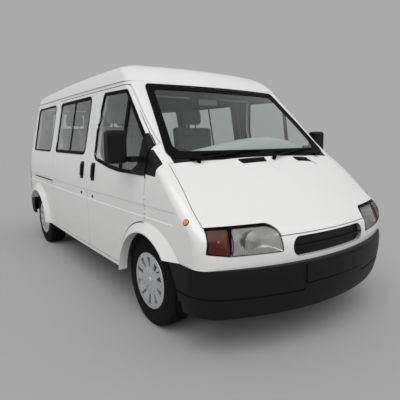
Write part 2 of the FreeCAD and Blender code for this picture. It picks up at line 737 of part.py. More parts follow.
# Bumpers
front_levels = [
    (230.0, 855.0, 0.30e-3, 925.0, -3400.0, 250.0),
    (290.0, 888.0, 0.30e-3, 948.0, -3400.0, 250.0),
    (380.0, 908.0, 0.30e-3, 962.0, -3400.0, 250.0),
    (450.0, 917.0, 0.30e-3, 967.0, -3400.0, 250.0),
    (520.0, front_overhang - plate_pad, 0.30e-3, 968.0, -3400.0, 250.0),
    (575.0, 914.0, 0.30e-3, 966.0, -3400.0, 250.0),
    (610.0, 903.0, 0.30e-3, 962.0, -3400.0, 250.0),
]
front_zone = box(300.0, 1200.0, -1200, 1200, bumper_low, bumper_top)
front_solid = form(front_levels)
front_bumper = front_solid.common(front_zone)
front_hollow = form(front_levels, bumper_wall, bumper_wall, bumper_wall, bumper_wall * 0.8)
front_bumper = front_bumper.cut(front_hollow.common(box(0, 1200, -1200, 1200, 0, bumper_top - bumper_wall)))
front_bumper = front_bumper.cut(form(front_levels, 85.0, 100.0, 85.0, 60.0))
lip_line = box(0.0, 1200.0, -1200.0, 1200.0, 399.0, 411.0).cut(box(0.0, 1200.0, -plate_half, plate_half, 0.0, 1000.0))
lip_line = lip_line.fuse(box(0.0, 1200.0, -plate_half, plate_half, plate_low - 12.0, plate_low))
front_bumper = front_bumper.cut(lip_line.cut(form(front_levels, bumper_groove, bumper_groove, bumper_groove, 4.0)))
pad_zone = box(700.0, 1200.0, -plate_half, plate_half, plate_low, bumper_top - 14.0)
pad = form(front_levels, 0.0, -plate_pad).cut(form(front_levels, 10.0, 10.0, 10.0, 8.0)).common(pad_zone)
front_bumper = fuse([front_bumper, pad])
for side in (-1, 1):
    room = cylinder_y(front_arch[0], front_arch[1], arch_radius + housing_sheet + seat_gap, 560.0, lip_inner_y)
    front_bumper = front_bumper.cut(on_side(room, side)).cut(arch_cut(front_lip, lip_radius, side))
rear_levels = [
    (300.0, 868.0, 0.26e-3, 950.0, tail_end + 40.0, 105.0),
    (380.0, 868.0, 0.26e-3, 964.0, tail_end + 8.0, 105.0),
    (460.0, 868.0, 0.26e-3, 968.0, tail_end, 105.0),
    (530.0, 868.0, 0.26e-3, 968.0, tail_end + 2.0, 105.0),
    (580.0, 868.0, 0.26e-3, 962.0, tail_end + 16.0, 105.0),
]
rear_zone = box(-3800.0, rear_bumper_front, -1200, 1200, rear_bumper_low, rear_bumper_top)
rear_bumper = form(rear_levels).common(rear_zone)
rear_hollow = form(rear_levels, bumper_wall, bumper_wall, bumper_wall, bumper_wall * 0.8)
rear_bumper = rear_bumper.cut(rear_hollow.common(box(-3800, 0, -1200, 1200, 0, rear_bumper_top - bumper_wall)))
rear_bumper = rear_bumper.cut(form(rear_levels, 85.0, 120.0, 120.0, 60.0))
for side in (-1, 1):
    rear_bumper = rear_bumper.cut(arch_cut(rear_arch, rear_arch_radius + housing_sheet + seat_gap, side))
save("bumpers", Part.makeCompound([front_bumper, rear_bumper]))

# Floor with bulkhead and scuttle, cut for the wheel housings
floor_profile = [(-3490.0, floor_z), (-3490.0, floor_z + floor_sheet), (bulkhead_x - 25.0, floor_z + floor_sheet),
                 (bulkhead_x - 8.0, 1010.0), (100.0, 1085.0), (100.0, 1060.0), (bulkhead_x + 22.0, 990.0),
                 (bulkhead_x + 22.0, floor_z)]
floor = prism_y(floor_profile, -900.0, 900.0).common(form(body_levels, wall + 2.0, nose_wall + 2.0, wall + 2.0, 28.0))
rear_housing = rear_arch_radius + housing_sheet
for side in (-1, 1):
    low, high = sorted((side * housing_inner, side * 1200.0))
    floor = floor.cut(cylinder_y(rear_arch[0], rear_arch[1], rear_housing + seat_gap, low, high))
    low, high = sorted((side * 440.0, side * 1200.0))
    floor = floor.cut(cylinder_y(front_arch[0], front_arch[1], arch_radius + housing_sheet + seat_gap, low, high))
save("floor_pan", floor)

# Wheel housings
housings = []
rear_shell = cylinder_y(rear_arch[0], rear_arch[1], rear_housing, housing_inner, 905.0)
rear_shell = rear_shell.cut(cylinder_y(rear_arch[0], rear_arch[1], rear_arch_radius, housing_inner + housing_sheet, 905.0))
housings.append(rear_shell.common(box(-3800, 0, 0, 1200, rear_arch[1] + 85.0, 1000)))
front_shell = cylinder_y(front_arch[0], front_arch[1], arch_radius + housing_sheet, 470.0, 886.0)
front_shell = front_shell.cut(cylinder_y(front_arch[0], front_arch[1], arch_radius, 460.0, 905.0))
front_shell = front_shell.common(box(-900, 800, 0, 1200, arch_height + 120.0, 1000))
housings.append(front_shell)
inside = form(body_levels, wall + 1.0, nose_wall + 1.0, wall + 1.0, 28.0)
save("wheel_housings", both(Part.makeCompound([h.common(inside) for h in housings])))

# Chassis rails with their cross members
parts = []
for side in (-1, 1):
    low, high = sorted((side * rail_inner, side * rail_outer))
    parts.append(box(-3540.0, 770.0, low, high, rail_low, rail_high))
for x in (-3500.0, -2300.0, -1300.0, 700.0):
    parts.append(box(x - 40.0, x + 40.0, -rail_inner, rail_inner, rail_low + 20.0, rail_high - 10.0))
parts.append(box(730.0, 770.0, -580.0, 580.0, rail_low, rail_high))
parts.append(box(-3540.0, -3500.0, -700.0, 700.0, rail_low, rail_high))
for x in jack_places:
    for side in (-1, 1):
        low, high = sorted((side * (rail_inner + 5.0), side * (rail_outer - 5.0)))
        parts.append(box(x - jack_pad / 2, x + jack_pad / 2, low, high, rail_low - jack_drop, rail_low))
save("chassis_rails", fuse(parts))

# Front subframe: cross member, lower arms with ball pins, and spring struts
parts = [box(-70.0, 70.0, -460.0, 460.0, 165.0, 235.0)]
for side in (-1, 1):
    arm = prism_z([(-60.0, 440.0), (-28.0, kingpin_y), (28.0, kingpin_y), (60.0, 440.0)], 185.0, 207.0)
    pin = Part.makeCylinder(14.0, 62.0, V(at(0), kingpin_y, 185.0))
    boss = Part.makeCylinder(30.0, 22.0, V(at(0), kingpin_y, 185.0))
    post = box(-45.0, 45.0, rail_inner + 5.0, rail_outer - 5.0, 230.0, rail_low - seat_gap)
    strut_foot = box(-35.0, 35.0, 500.0, 640.0, 185.0, 215.0)
    strut = Part.makeCylinder(27.0, 600.0, V(at(0), 600.0, 210.0))
    spring = Part.makeCylinder(55.0, 360.0, V(at(0), 600.0, 450.0))
    strut = strut.fuse(spring).common(cylinder_y(front_arch[0], front_arch[1], arch_radius - seat_gap, 500.0, 700.0))
    parts += [on_side(s, side) for s in (arm, pin, boss, post, strut_foot, strut)]
save("front_subframe", fuse(parts))

# Rear axle with leaf springs and propeller shaft
axle_x = -wheelbase
parts = [cylinder_y(axle_x, tyre_radius, 38.0, -700.0, 700.0), Part.makeSphere(115.0, V(at(axle_x), 0, tyre_radius))]
parts.append(Part.makeCylinder(30.0, 1690.0, V(at(-2715.0), 0, tyre_radius + 5.0), V(1, 0, 0)))
for side in (-1, 1):
    low, high = sorted((side * 690.0, side * 722.0))
    parts.append(cylinder_y(axle_x, tyre_radius, 120.0, low, high))
    low, high = sorted((side * 700.0, side * hub_out))
    parts.append(cylinder_y(axle_x, tyre_radius, stub_radius, low, high))
    low, high = sorted((side * (rail_inner + 6.0), side * (rail_outer - 6.0)))
    parts.append(box(axle_x - 600.0, axle_x + 640.0, low, high, 262.0, 295.0))
    for x in (axle_x - 600.0, axle_x + 600.0):
        parts.append(box(x, x + 40.0, low, high, 262.0, rail_low - seat_gap))
save("rear_axle", fuse(parts))

# Engine with gearbox
block = soft_box(-290.0, 430.0, -250.0, 250.0, 262.0, 900.0, 30.0)
lugs = box(100.0, 160.0, -rail_inner + seat_gap, rail_inner - seat_gap, 425.0, 475.0)
gearbox = Part.makeCone(170.0, 95.0, 560.0, V(at(-270.0), 0, 332.0), V(-1, 0, 0))
case = Part.makeCylinder(95.0, 200.0, V(at(-820.0), 0, 332.0), V(-1, 0, 0))
save("engine_block", fuse([block, lugs, gearbox, case]).cut(box(-1030, 500, -500, 500, 0, 236.0)))

# Exhaust and fuel tank
route = [V(at(-150.0), -300.0, 330.0), V(at(-700.0), -300.0, 300.0), V(at(-2300.0), -300.0, 300.0),
         V(at(-2500.0), -200.0, 470.0), V(at(-3100.0), -200.0, 470.0), V(at(-3300.0), -250.0, 300.0),
         V(at(-3560.0), -250.0, 290.0)]
pipes = []
for p, q in zip(route, route[1:]):
    pipes.append(Part.makeCylinder(24.0, (q - p).Length, p, q - p))
    pipes.append(Part.makeSphere(24.0, q))
silencer = soft_box(-2050.0, -1450.0, -370.0, -230.0, 240.0, 360.0, 40.0)
hangers = [box(-1800.0, -1780.0, -310.0, -290.0, 350.0, floor_z - seat_gap)]
save("exhaust", fuse([silencer] + pipes + hangers))
tank = soft_box(-2150.0, -1250.0, 480.0, 840.0, 250.0, floor_z - seat_gap, 35.0)
save("fuel_tank", tank)

# Dashboard and steering wheel
dash_profile = [(bulkhead_x - 30.0, 790.0), (bulkhead_x - 150.0, 830.0), (bulkhead_x - 165.0, 940.0),
                (bulkhead_x - 110.0, 1080.0), (bulkhead_x - 40.0, 1130.0), (30.0, 1150.0), (95.0, 1100.0),
                (90.0, 1090.0), (bulkhead_x - 8.0, 1016.0)]
cabin = form(body_levels, wall + 6.0, nose_wall + 12.0, wall + 6.0, 28.0)
dash = prism_y(dash_profile, -900.0, 900.0).common(cabin)
column_low = V(at(-480.0), wheel_y, 900.0)
column_dir = V(-0.80, 0, 0.60)
column = Part.makeCylinder(30.0, 130.0, column_low, column_dir)
socket = Part.makeCylinder(14.0, 60.0, column_low + column_dir * 110.0, column_dir)
save("dashboard", fuse([dash, column, socket]))
hub_point = column_low + column_dir * 172.0
rim = Part.makeTorus(195.0, 15.0, hub_point, column_dir)
hub = Part.makeCylinder(45.0, 34.0, hub_point - column_dir * 26.0, column_dir)
bore = Part.makeCylinder(14.0 + seat_gap, 33.0, hub_point - column_dir * 34.0, column_dir)
spokes = [Part.makeCylinder(9.0, 190.0, hub_point, V(0, s, 0)) for s in (-1, 1)]
spokes.append(Part.makeCylinder(9.0, 190.0, hub_point, V(-0.6, 0, -0.8)))
save("steering_wheel", fuse([rim, hub] + spokes).cut(bore))


def seat(x, y0, y1, base, rests):
    """Seat with a pedestal, cushion, back and headrests; x is the front of the cushion."""
    cushion = soft_box(x - 470.0, x, y0, y1, base, base + 130.0, 35.0)
    back_profile = [(x - 480.0, base + 60.0), (x - 560.0, base + 640.0), (x - 460.0, base + 650.0), (x - 350.0, base + 60.0)]
    back = prism_y(back_profile, y0, y1)
    back = back.makeFillet(28.0, back.Edges)
    stand = box(x - 440.0, x - 60.0, y0 + 60.0, y1 - 60.0, floor_z + floor_sheet + seat_gap, base + 20.0)
    pieces = [cushion, back, stand]
    for y in rests:
        pieces.append(soft_box(x - 565.0, x - 470.0, y - 125.0, y + 125.0, base + 670.0, base + 850.0, 30.0))
        for off in (-50.0, 50.0):
            pieces.append(Part.makeCylinder(7.0, 70.0, V(at(x - 515.0), y + off, base + 620.0)))
    return fuse(pieces)


driver_seat = seat(-780.0, 130.0, 620.0, seat_base, [375.0])
front_bench = seat(-780.0, -700.0, 20.0, seat_base, [-520.0, -160.0])
middle_bench = seat(-1620.0, -640.0, 560.0, seat_base, [-440.0, -40.0, 360.0])
back_bench = seat(-2450.0, -600.0, 600.0, seat_base + 20.0, [-400.0, 0.0, 400.0])
save("seats", Part.makeCompound([driver_seat, front_bench, middle_bench, back_bench]))

# Knuckles with brake discs and stub axles
for side in (-1, 1):
    upright = box(-45.0, 45.0, 742.0, 775.0, 250.0, 430.0)
    eye = Part.makeCylinder(32.0, 40.0, V(at(0), kingpin_y, 208.0))
    link = box(-25.0, 25.0, 752.0, kingpin_y, 225.0, 258.0)
    disc = cylinder_y(0.0, tyre_radius, 112.0, 716.0, 738.0)
    web = cylinder_y(0.0, tyre_radius, 62.0, 736.0, 790.0)
    stub = cylinder_y(0.0, tyre_radius, stub_radius, 780.0, hub_out)
    steer_arm = box(-130.0, -30.0, 745.0, 765.0, 300.0, 325.0)
    knuckle = fuse([upright, eye, link, disc, web, stub, steer_arm])
    knuckle = knuckle.cut(Part.makeCylinder(14.0 + seat_gap, 42.0, V(at(0), kingpin_y, 206.0)))
    save("knuckle_" + names[side], on_side(knuckle, side))

# Wheels: pressed disc and barrel with a spoked cover, and the tyre
face_y = track_half + tyre_width / 2
half = tyre_width / 2


def spun(profile, y_middle):
    """Ring from a closed (y, radius) profile spun about the wheel axis."""
    points = [V(0, y_middle + y, r) for y, r in profile]
    return Part.Face(Part.makePolygon(points + points[:1])).revolve(V(0, 0, 0), V(0, 1, 0), 360)


def make_rim():
    """Wheel disc, barrel and cover about the Y axis."""
    barrel_ring = spun([(-88.0, rim_radius), (-88.0, 178.0), (-70.0, 170.0), (60.0, 165.0), (82.0, 178.0), (88.0, 178.0),
                        (88.0, rim_radius), (76.0, rim_radius - 6.0), (-76.0, rim_radius - 6.0)], track_half)
    disc = spun([(28.0, stub_radius + seat_gap), (28.0, 168.0), (44.0, 168.0), (52.0, 110.0), (44.0, 70.0),
                 (44.0, stub_radius + seat_gap)], track_half)
    cover = spun([(84.0, 0.01), (84.0, 60.0), (78.0, 100.0), (84.0, 160.0), (93.0, cover_radius - 4.0),
                  (96.0, cover_radius - 6.0), (98.0, 160.0), (90.0, 100.0), (97.0, 60.0), (97.0, 0.01)], track_half)
    slot_outline = [V(-9.0, track_half + 60.0, 102.0), V(9.0, track_half + 60.0, 102.0),
                    V(21.0, track_half + 60.0, 172.0), V(-21.0, track_half + 60.0, 172.0)]
    for i in range(slot_count):
        slot = prism(slot_outline, V(0, 60.0, 0), 6.0, 0)
        slot.rotate(V(0, 0, 0), V(0, 1, 0), i * 360.0 / slot_count)
        cover = cover.cut(slot)
    prop = spun([(43.0, 60.0), (43.0, 80.0), (86.0, 75.0), (86.0, 58.0)], track_half)
    return fuse([barrel_ring, disc, prop, cover])


def make_tyre():
    profile = [(-half + 8.0, rim_radius + seat_gap), (-half, 225.0), (-half + 2.0, 275.0), (-half + 16.0, 315.0),
               (-half + 34.0, tyre_radius - 1.5), (0.0, tyre_radius), (half - 34.0, tyre_radius - 1.5),
               (half - 16.0, 315.0), (half - 2.0, 275.0), (half, 225.0), (half - 8.0, rim_radius + seat_gap)]
    return spun(profile, track_half)


rim_shape = make_rim()
tyre_shape = make_tyre()
for end, x in (("front", 0.0), ("rear", -wheelbase)):
    for side in (-1, 1):
        for kind, shape in (("rim", rim_shape), ("tyre", tyre_shape)):
            placed = on_side(shape, side).copy()
            placed.translate(V(at(x), 0, tyre_radius))
            save(kind + "_" + end + "_" + names[side], placed)
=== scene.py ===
import json
import math

import bmesh
import bpy
from mathutils import Matrix, Vector
from mathutils.bvhtree import BVHTree
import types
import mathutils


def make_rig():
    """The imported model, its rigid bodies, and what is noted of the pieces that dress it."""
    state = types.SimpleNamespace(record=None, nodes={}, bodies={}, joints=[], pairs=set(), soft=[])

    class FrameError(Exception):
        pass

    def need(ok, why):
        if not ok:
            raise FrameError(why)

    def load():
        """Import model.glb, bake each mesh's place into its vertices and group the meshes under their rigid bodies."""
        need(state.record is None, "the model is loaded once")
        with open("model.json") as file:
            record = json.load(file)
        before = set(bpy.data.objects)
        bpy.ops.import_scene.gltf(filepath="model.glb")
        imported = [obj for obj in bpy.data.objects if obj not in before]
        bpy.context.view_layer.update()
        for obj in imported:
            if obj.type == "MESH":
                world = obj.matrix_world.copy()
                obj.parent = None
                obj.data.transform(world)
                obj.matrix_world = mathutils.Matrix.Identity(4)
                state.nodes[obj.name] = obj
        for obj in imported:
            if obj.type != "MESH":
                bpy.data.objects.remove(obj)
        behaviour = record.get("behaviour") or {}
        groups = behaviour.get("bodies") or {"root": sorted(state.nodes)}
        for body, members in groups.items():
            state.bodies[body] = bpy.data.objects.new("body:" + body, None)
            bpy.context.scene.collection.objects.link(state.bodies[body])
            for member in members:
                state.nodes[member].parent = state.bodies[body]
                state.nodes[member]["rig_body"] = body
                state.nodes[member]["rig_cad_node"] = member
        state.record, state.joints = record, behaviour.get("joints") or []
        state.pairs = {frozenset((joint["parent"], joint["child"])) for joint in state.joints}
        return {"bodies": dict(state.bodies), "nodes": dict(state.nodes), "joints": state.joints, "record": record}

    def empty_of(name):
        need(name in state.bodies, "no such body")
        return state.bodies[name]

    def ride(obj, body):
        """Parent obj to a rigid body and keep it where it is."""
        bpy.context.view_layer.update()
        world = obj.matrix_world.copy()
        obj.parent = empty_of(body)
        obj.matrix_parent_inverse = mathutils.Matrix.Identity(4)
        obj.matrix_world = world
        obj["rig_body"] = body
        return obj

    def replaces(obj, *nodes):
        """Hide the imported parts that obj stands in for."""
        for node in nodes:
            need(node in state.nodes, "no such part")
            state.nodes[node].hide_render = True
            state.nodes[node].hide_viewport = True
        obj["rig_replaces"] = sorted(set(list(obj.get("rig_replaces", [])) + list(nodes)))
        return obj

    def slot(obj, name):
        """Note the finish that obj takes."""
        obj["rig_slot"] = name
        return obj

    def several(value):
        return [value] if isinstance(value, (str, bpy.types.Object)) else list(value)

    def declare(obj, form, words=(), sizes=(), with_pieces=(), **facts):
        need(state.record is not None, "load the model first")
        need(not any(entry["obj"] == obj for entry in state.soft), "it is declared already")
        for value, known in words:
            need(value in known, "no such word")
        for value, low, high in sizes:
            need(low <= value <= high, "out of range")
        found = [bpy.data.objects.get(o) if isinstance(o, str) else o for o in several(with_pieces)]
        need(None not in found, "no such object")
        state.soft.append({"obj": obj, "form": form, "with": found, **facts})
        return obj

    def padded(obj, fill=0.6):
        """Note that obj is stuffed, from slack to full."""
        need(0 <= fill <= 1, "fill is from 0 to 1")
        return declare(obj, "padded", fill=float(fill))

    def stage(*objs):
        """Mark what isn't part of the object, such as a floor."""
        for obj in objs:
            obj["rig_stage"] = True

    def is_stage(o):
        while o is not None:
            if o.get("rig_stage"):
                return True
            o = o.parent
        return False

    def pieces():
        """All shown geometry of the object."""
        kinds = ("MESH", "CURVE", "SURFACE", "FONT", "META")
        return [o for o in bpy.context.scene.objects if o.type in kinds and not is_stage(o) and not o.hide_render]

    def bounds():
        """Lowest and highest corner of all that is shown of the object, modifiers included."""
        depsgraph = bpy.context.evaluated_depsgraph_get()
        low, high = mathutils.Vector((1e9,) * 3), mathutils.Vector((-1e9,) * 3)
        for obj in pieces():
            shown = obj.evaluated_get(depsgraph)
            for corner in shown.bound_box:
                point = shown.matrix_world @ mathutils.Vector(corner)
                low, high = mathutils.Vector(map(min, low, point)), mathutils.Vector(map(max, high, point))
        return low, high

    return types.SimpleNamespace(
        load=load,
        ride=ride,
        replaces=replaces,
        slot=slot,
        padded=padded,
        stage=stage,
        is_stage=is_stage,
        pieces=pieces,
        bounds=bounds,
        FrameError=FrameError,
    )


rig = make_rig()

bl_info = {
    "name": "Minibus finishes",
    "version": (1, 0, 0),
    "blender": (4, 5, 0),
    "location": "View3D > Sidebar > Minibus",
    "description": "Dresses the minibus with paint, glass, rubber, lamps, tyres and seats",
    "category": "Object",
}

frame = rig.load()
CAD_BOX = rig.bounds()
NODES = frame["nodes"]

# Layout of the vehicle in metres, as its record gives it
FRONT_AXLE = 1.3425
WHEELBASE = 2.815
WHEEL_RADIUS = 0.327
TRACK_HALF = 0.806
FLOOR_TOP = 0.530
SIDES = (("right", -1), ("left", 1))
AXLES = (("front", 0.0), ("rear", -WHEELBASE))


def at(offset):
    """X of a place given from the front axle."""
    return FRONT_AXLE + offset


STEERING_WHEEL = Vector((at(-0.6176), 0.375, 1.0032))


# ---------------------------------------------------------------- settings

def colour_setting(name, description, default):
    """Property that holds a colour."""
    return bpy.props.FloatVectorProperty(name=name, description=description, subtype="COLOR", size=3,
                                         min=0.0, max=1.0, default=default)


def length_setting(name, description, low, high, default):
    """Property that holds a length in metres."""
    return bpy.props.FloatProperty(name=name, description=description, unit="LENGTH", min=low, max=high,
                                   default=default)


class MinibusPaint(bpy.types.PropertyGroup):
    """Colours of the body, its plastics and its cloth."""

    body: colour_setting("Body colour", "Colour of the painted panels", (0.79, 0.79, 0.785))
    lining: colour_setting("Lining colour", "Colour of the cabin's inner walls", (0.32, 0.32, 0.315))
    plastic: colour_setting("Plastic colour", "Colour of bumpers and mirrors", (0.0055, 0.0055, 0.0058))
    cloth: colour_setting("Cloth colour", "Colour of the seat covers", (0.30, 0.305, 0.31))
    dirt: bpy.props.FloatProperty(
        name="Road dust", description="How much dust lies on the lower body", subtype="FACTOR",
        min=0.0, max=1.0, default=0.35)


class MinibusTyres(bpy.types.PropertyGroup):
    """Sizes of the tyre tread."""

    pitches: bpy.props.IntProperty(
        name="Tread pitches", description="Blocks around each tyre", min=24, max=120, default=64)
    depth: length_setting("Tread depth", "Depth of the grooves", 0.001, 0.012, 0.007)


class MinibusSeats(bpy.types.PropertyGroup):
    """Sizes of the seat padding."""

    crown: length_setting("Crown", "Rise of the padding in its middle", 0.0, 0.05, 0.018)
    seam: length_setting("Seam depth", "Depth of the sewn channels", 0.0, 0.02, 0.009)


class MinibusSeals(bpy.types.PropertyGroup):
    """Sizes of the rubber seals."""

    width: length_setting("Seal width", "Width of the rubber around the side windows", 0.004, 0.05, 0.020)
    proud: length_setting("Seal height", "How far the rubber stands out", 0.001, 0.01, 0.004)


class MinibusStage(bpy.types.PropertyGroup):
    """Floor and light."""

    floor: colour_setting("Floor colour", "Colour of the plain floor", (0.42, 0.42, 0.42))
    light: bpy.props.FloatProperty(
        name="Sky strength", description="Strength of the even light", min=0.0, max=5.0, default=0.52)
    key: bpy.props.FloatProperty(
        name="Key strength", description="Strength of the main light", min=0.0, max=20.0, default=1.55)


# ---------------------------------------------------------------- materials

MADE = {}


def plug(tree, target, **values):
    """Set or link a node's inputs by name."""
    for key, value in values.items():
        socket = target.inputs[key.replace("_", " ")]
        if isinstance(value, bpy.types.NodeSocket):
            tree.links.new(value, socket)
        else:
            socket.default_value = value
    return target


def node(tree, kind, settings=None, **values):
    """New node with its settings and inputs."""
    new = tree.nodes.new(kind)
    for key, value in (settings or {}).items():
        setattr(new, key, value)
    return plug(tree, new, **values)


def shader(name):
    """New material: its tree, its Principled shader and its coordinates."""
    material = bpy.data.materials.new("bus_" + name)
    MADE[name] = material
    material.use_nodes = True
    tree = material.node_tree
    return tree, tree.nodes["Principled BSDF"], tree.nodes.new("ShaderNodeTexCoord").outputs


def calc(tree, operation, *values, clamp=False):
    """Math node fed by sockets or numbers; returns its output."""
    new = node(tree, "ShaderNodeMath", {"operation": operation, "use_clamp": clamp})
    for socket, value in zip(new.inputs, values):
        if isinstance(value, bpy.types.NodeSocket):
            tree.links.new(value, socket)
        else:
            socket.default_value = value
    return new.outputs[0]


def scaled(tree, colour, factor):
    """A colour times a factor; returns its output."""
    return node(tree, "ShaderNodeVectorMath", {"operation": "SCALE"}, Vector=colour, Scale=factor).outputs[0]


def split(tree, vector):
    """The three parts of a vector."""
    return node(tree, "ShaderNodeSeparateXYZ", Vector=vector).outputs


def noise(tree, place, scale, detail, **more):
    """Noise texture; returns its grey output."""
    return node(tree, "ShaderNodeTexNoise", Vector=place, Scale=scale, Detail=detail, **more).outputs["Fac"]


def waves(tree, place, axis, scale, **more):
    """Banded texture along an axis; returns its grey output."""
    return node(tree, "ShaderNodeTexWave", {"wave_type": "BANDS", "bands_direction": axis}, Vector=place,
                Scale=scale, **more).outputs["Fac"]


def mix_colour(tree, factor, first, second):
    """Mix of two colours; returns its output."""
    new = node(tree, "ShaderNodeMix", {"data_type": "RGBA"})
    for socket, value in ((new.inputs[0], factor), (new.inputs[6], first), (new.inputs[7], second)):
        if isinstance(value, bpy.types.NodeSocket):
            tree.links.new(value, socket)
        else:
            socket.default_value = value
    return new.outputs[2]


def blended(tree, ends, first, second, output):
    """Send a mix of two shaders to the output, by the larger of two kinds of ray."""
    rays = tree.nodes.new("ShaderNodeLightPath").outputs
    blend = tree.nodes.new("ShaderNodeMixShader")
    tree.links.new(calc(tree, "MAXIMUM", *[rays[end] for end in ends]), blend.inputs[0])
    tree.links.new(first.outputs[0], blend.inputs[1])
    tree.links.new(second.outputs[0], blend.inputs[2])
    tree.links.new(blend.outputs[0], tree.nodes[output].inputs["Surface"])


def group(name, inputs, outputs):
    """Empty shader group; returns its tree, what it is given and where its results go."""
    tree = bpy.data.node_groups.new(name, "ShaderNodeTree")
    for label, kind, default in inputs:
        socket = tree.interface.new_socket(label, in_out="INPUT", socket_type="NodeSocket" + kind)
        if default is not None:
            socket.default_value = default
    for label, kind in outputs:
        tree.interface.new_socket(label, in_out="OUTPUT", socket_type="NodeSocket" + kind)
    return tree, tree.nodes.new("NodeGroupInput").outputs, tree.nodes.new("NodeGroupOutput")


def effect(tree, name, **values):
    """A shared group placed in a material with its own values; returns its outputs."""
    return plug(tree, node(tree, "ShaderNodeGroup", {"node_tree": bpy.data.node_groups[name]}), **values).outputs


def build_groups():
    """Shared effects: road dust, moulded grain, inner faces and woven cloth."""
    # Road dust: more of it low down and in blotches
    tree, given, out = group("Road Dust", [
        ("Place", "Vector", None), ("Colour", "Color", (0.8, 0.8, 0.8, 1)),
        ("Dust", "Color", (0.24, 0.21, 0.17, 1)), ("Amount", "Float", 0.3), ("Top", "Float", 1.0),
        ("Roughness", "Float", 0.4)],
        [("Colour", "Color"), ("Roughness", "Float"), ("Mask", "Float")])
    blotch = noise(tree, given["Place"], 5.0, 6.0, Roughness=0.62)
    fine = noise(tree, given["Place"], 90.0, 3.0)
    height = calc(tree, "DIVIDE", split(tree, given["Place"])[2], given["Top"])
    low = calc(tree, "POWER", calc(tree, "SUBTRACT", 1.0, height, clamp=True), 1.6)
    spots = calc(tree, "MULTIPLY_ADD", calc(tree, "MULTIPLY", blotch, fine), 2.6, 0.1)
    mask = calc(tree, "MULTIPLY", low, spots, clamp=True)
    mask = calc(tree, "MULTIPLY", mask, given["Amount"], clamp=True)
    shaded = scaled(tree, given["Colour"], calc(tree, "MULTIPLY_ADD", blotch, 0.035, 0.9825))
    uneven = calc(tree, "MULTIPLY_ADD", fine, 0.05, given["Roughness"])
    plug(tree, out, Colour=mix_colour(tree, mask, shaded, given["Dust"]),
         Roughness=calc(tree, "MULTIPLY_ADD", mask, 0.5, uneven), Mask=mask)

    # Moulded grain: small pits for plastics, rubber and cast metal
    tree, given, out = group("Moulded Grain", [
        ("Place", "Vector", None), ("Scale", "Float", 400.0), ("Depth", "Float", 1.0)], [("Height", "Float")])
    cells = node(tree, "ShaderNodeTexVoronoi", {"feature": "F1"}, Vector=given["Place"], Scale=given["Scale"])
    pits = calc(tree, "MULTIPLY", cells.outputs["Distance"], given["Depth"])
    plug(tree, out, Height=calc(tree, "ADD", pits, noise(tree, given["Place"], 14.0, 3.0)))

    # Inner faces: the sides of a wall that look into the cabin
    tree, given, out = group("Inner Faces", [
        ("Place", "Vector", None), ("Normal", "Vector", None)], [("Mask", "Float")])
    spot = split(tree, given["Place"])
    way = split(tree, given["Normal"])
    inward = calc(tree, "MULTIPLY", way[1], calc(tree, "SIGN", spot[1]))
    mask = calc(tree, "LESS_THAN", inward, -0.4)
    # Faces of the tail that look ahead, of the roof that look down, and of the screen's frame that look back
    for axis, faces, least, lies, bound in (
            (0, "GREATER_THAN", 0.7, "LESS_THAN", at(-3.44)),
            (2, "LESS_THAN", -0.35, "GREATER_THAN", 1.70),
            (0, "LESS_THAN", -0.45, "GREATER_THAN", at(-0.45))):
        found = calc(tree, "MULTIPLY", calc(tree, faces, way[axis], least), calc(tree, lies, spot[axis], bound))
        mask = calc(tree, "MAXIMUM", mask, found)
    plug(tree, out, Mask=mask)

    # Woven cloth: crossing threads with a fleck
    tree, given, out = group("Woven Cloth", [
        ("Place", "Vector", None), ("Colour", "Color", (0.2, 0.2, 0.2, 1)),
        ("Fleck", "Color", (0.3, 0.3, 0.3, 1)), ("Scale", "Float", 260.0)],
        [("Colour", "Color"), ("Height", "Float")])
    warp, weft = [waves(tree, given["Place"], axis, given["Scale"], Distortion=0.6, Detail=1.0)
                  for axis in ("Y", "DIAGONAL")]
    cross = calc(tree, "MULTIPLY", warp, weft)
    fleck = calc(tree, "MULTIPLY", cross, noise(tree, given["Place"], 120.0, 2.0), clamp=True)
    plug(tree, out, Colour=mix_colour(tree, fleck, given["Colour"], given["Fleck"]), Height=cross)


def bumped(tree, principled, height, strength, distance=0.001):
    """Bump from a height socket into the shader's normal."""
    bump = node(tree, "ShaderNodeBump", Strength=strength, Distance=distance, Height=height)
    plug(tree, principled, Normal=bump.outputs[0])


def dusty(name, colour, roughness, amount=0.3, top=1.0, metallic=0.0, coat=0.0, grain=0.0, scale=500.0,
          dust=(0.24, 0.21, 0.17), specular=0.5):
    """Finish with road dust, uneven gloss and, if wanted, moulded grain."""
    tree, principled, coords = shader(name)
    dirt = effect(tree, "Road Dust", Place=coords["Object"], Colour=(*colour, 1), Dust=(*dust, 1),
                  Amount=amount, Top=top, Roughness=roughness)
    plug(tree, principled, Base_Color=dirt["Colour"], Roughness=dirt["Roughness"], Metallic=metallic,
         Coat_Weight=coat, Coat_Roughness=0.06, Specular_IOR_Level=specular)
    if grain:
        pits = effect(tree, "Moulded Grain", Place=coords["Object"], Scale=scale, Depth=1.0)
        bumped(tree, principled, pits["Height"], grain)


def paint_material(settings):
    """Gloss paint outside and cabin lining on the faces that look inward."""
    tree, principled, coords = shader("body_paint")
    place = coords["Object"]
    mask = effect(tree, "Inner Faces", Place=place, Normal=coords["Normal"])["Mask"]
    dirt = effect(tree, "Road Dust", Place=place, Colour=(*settings.body, 1), Dust=(0.30, 0.28, 0.25, 1),
                  Amount=settings.dirt, Top=0.95, Roughness=0.27)
    plug(tree, principled, Base_Color=mix_colour(tree, mask, dirt["Colour"], (*settings.lining, 1)),
         Roughness=calc(tree, "MULTIPLY_ADD", mask, 0.5, dirt["Roughness"]),
         Coat_Weight=calc(tree, "MULTIPLY", calc(tree, "SUBTRACT", 1.0, mask), 0.55), Coat_Roughness=0.045)
    bumped(tree, principled, noise(tree, place, 160.0, 1.0), 0.035)


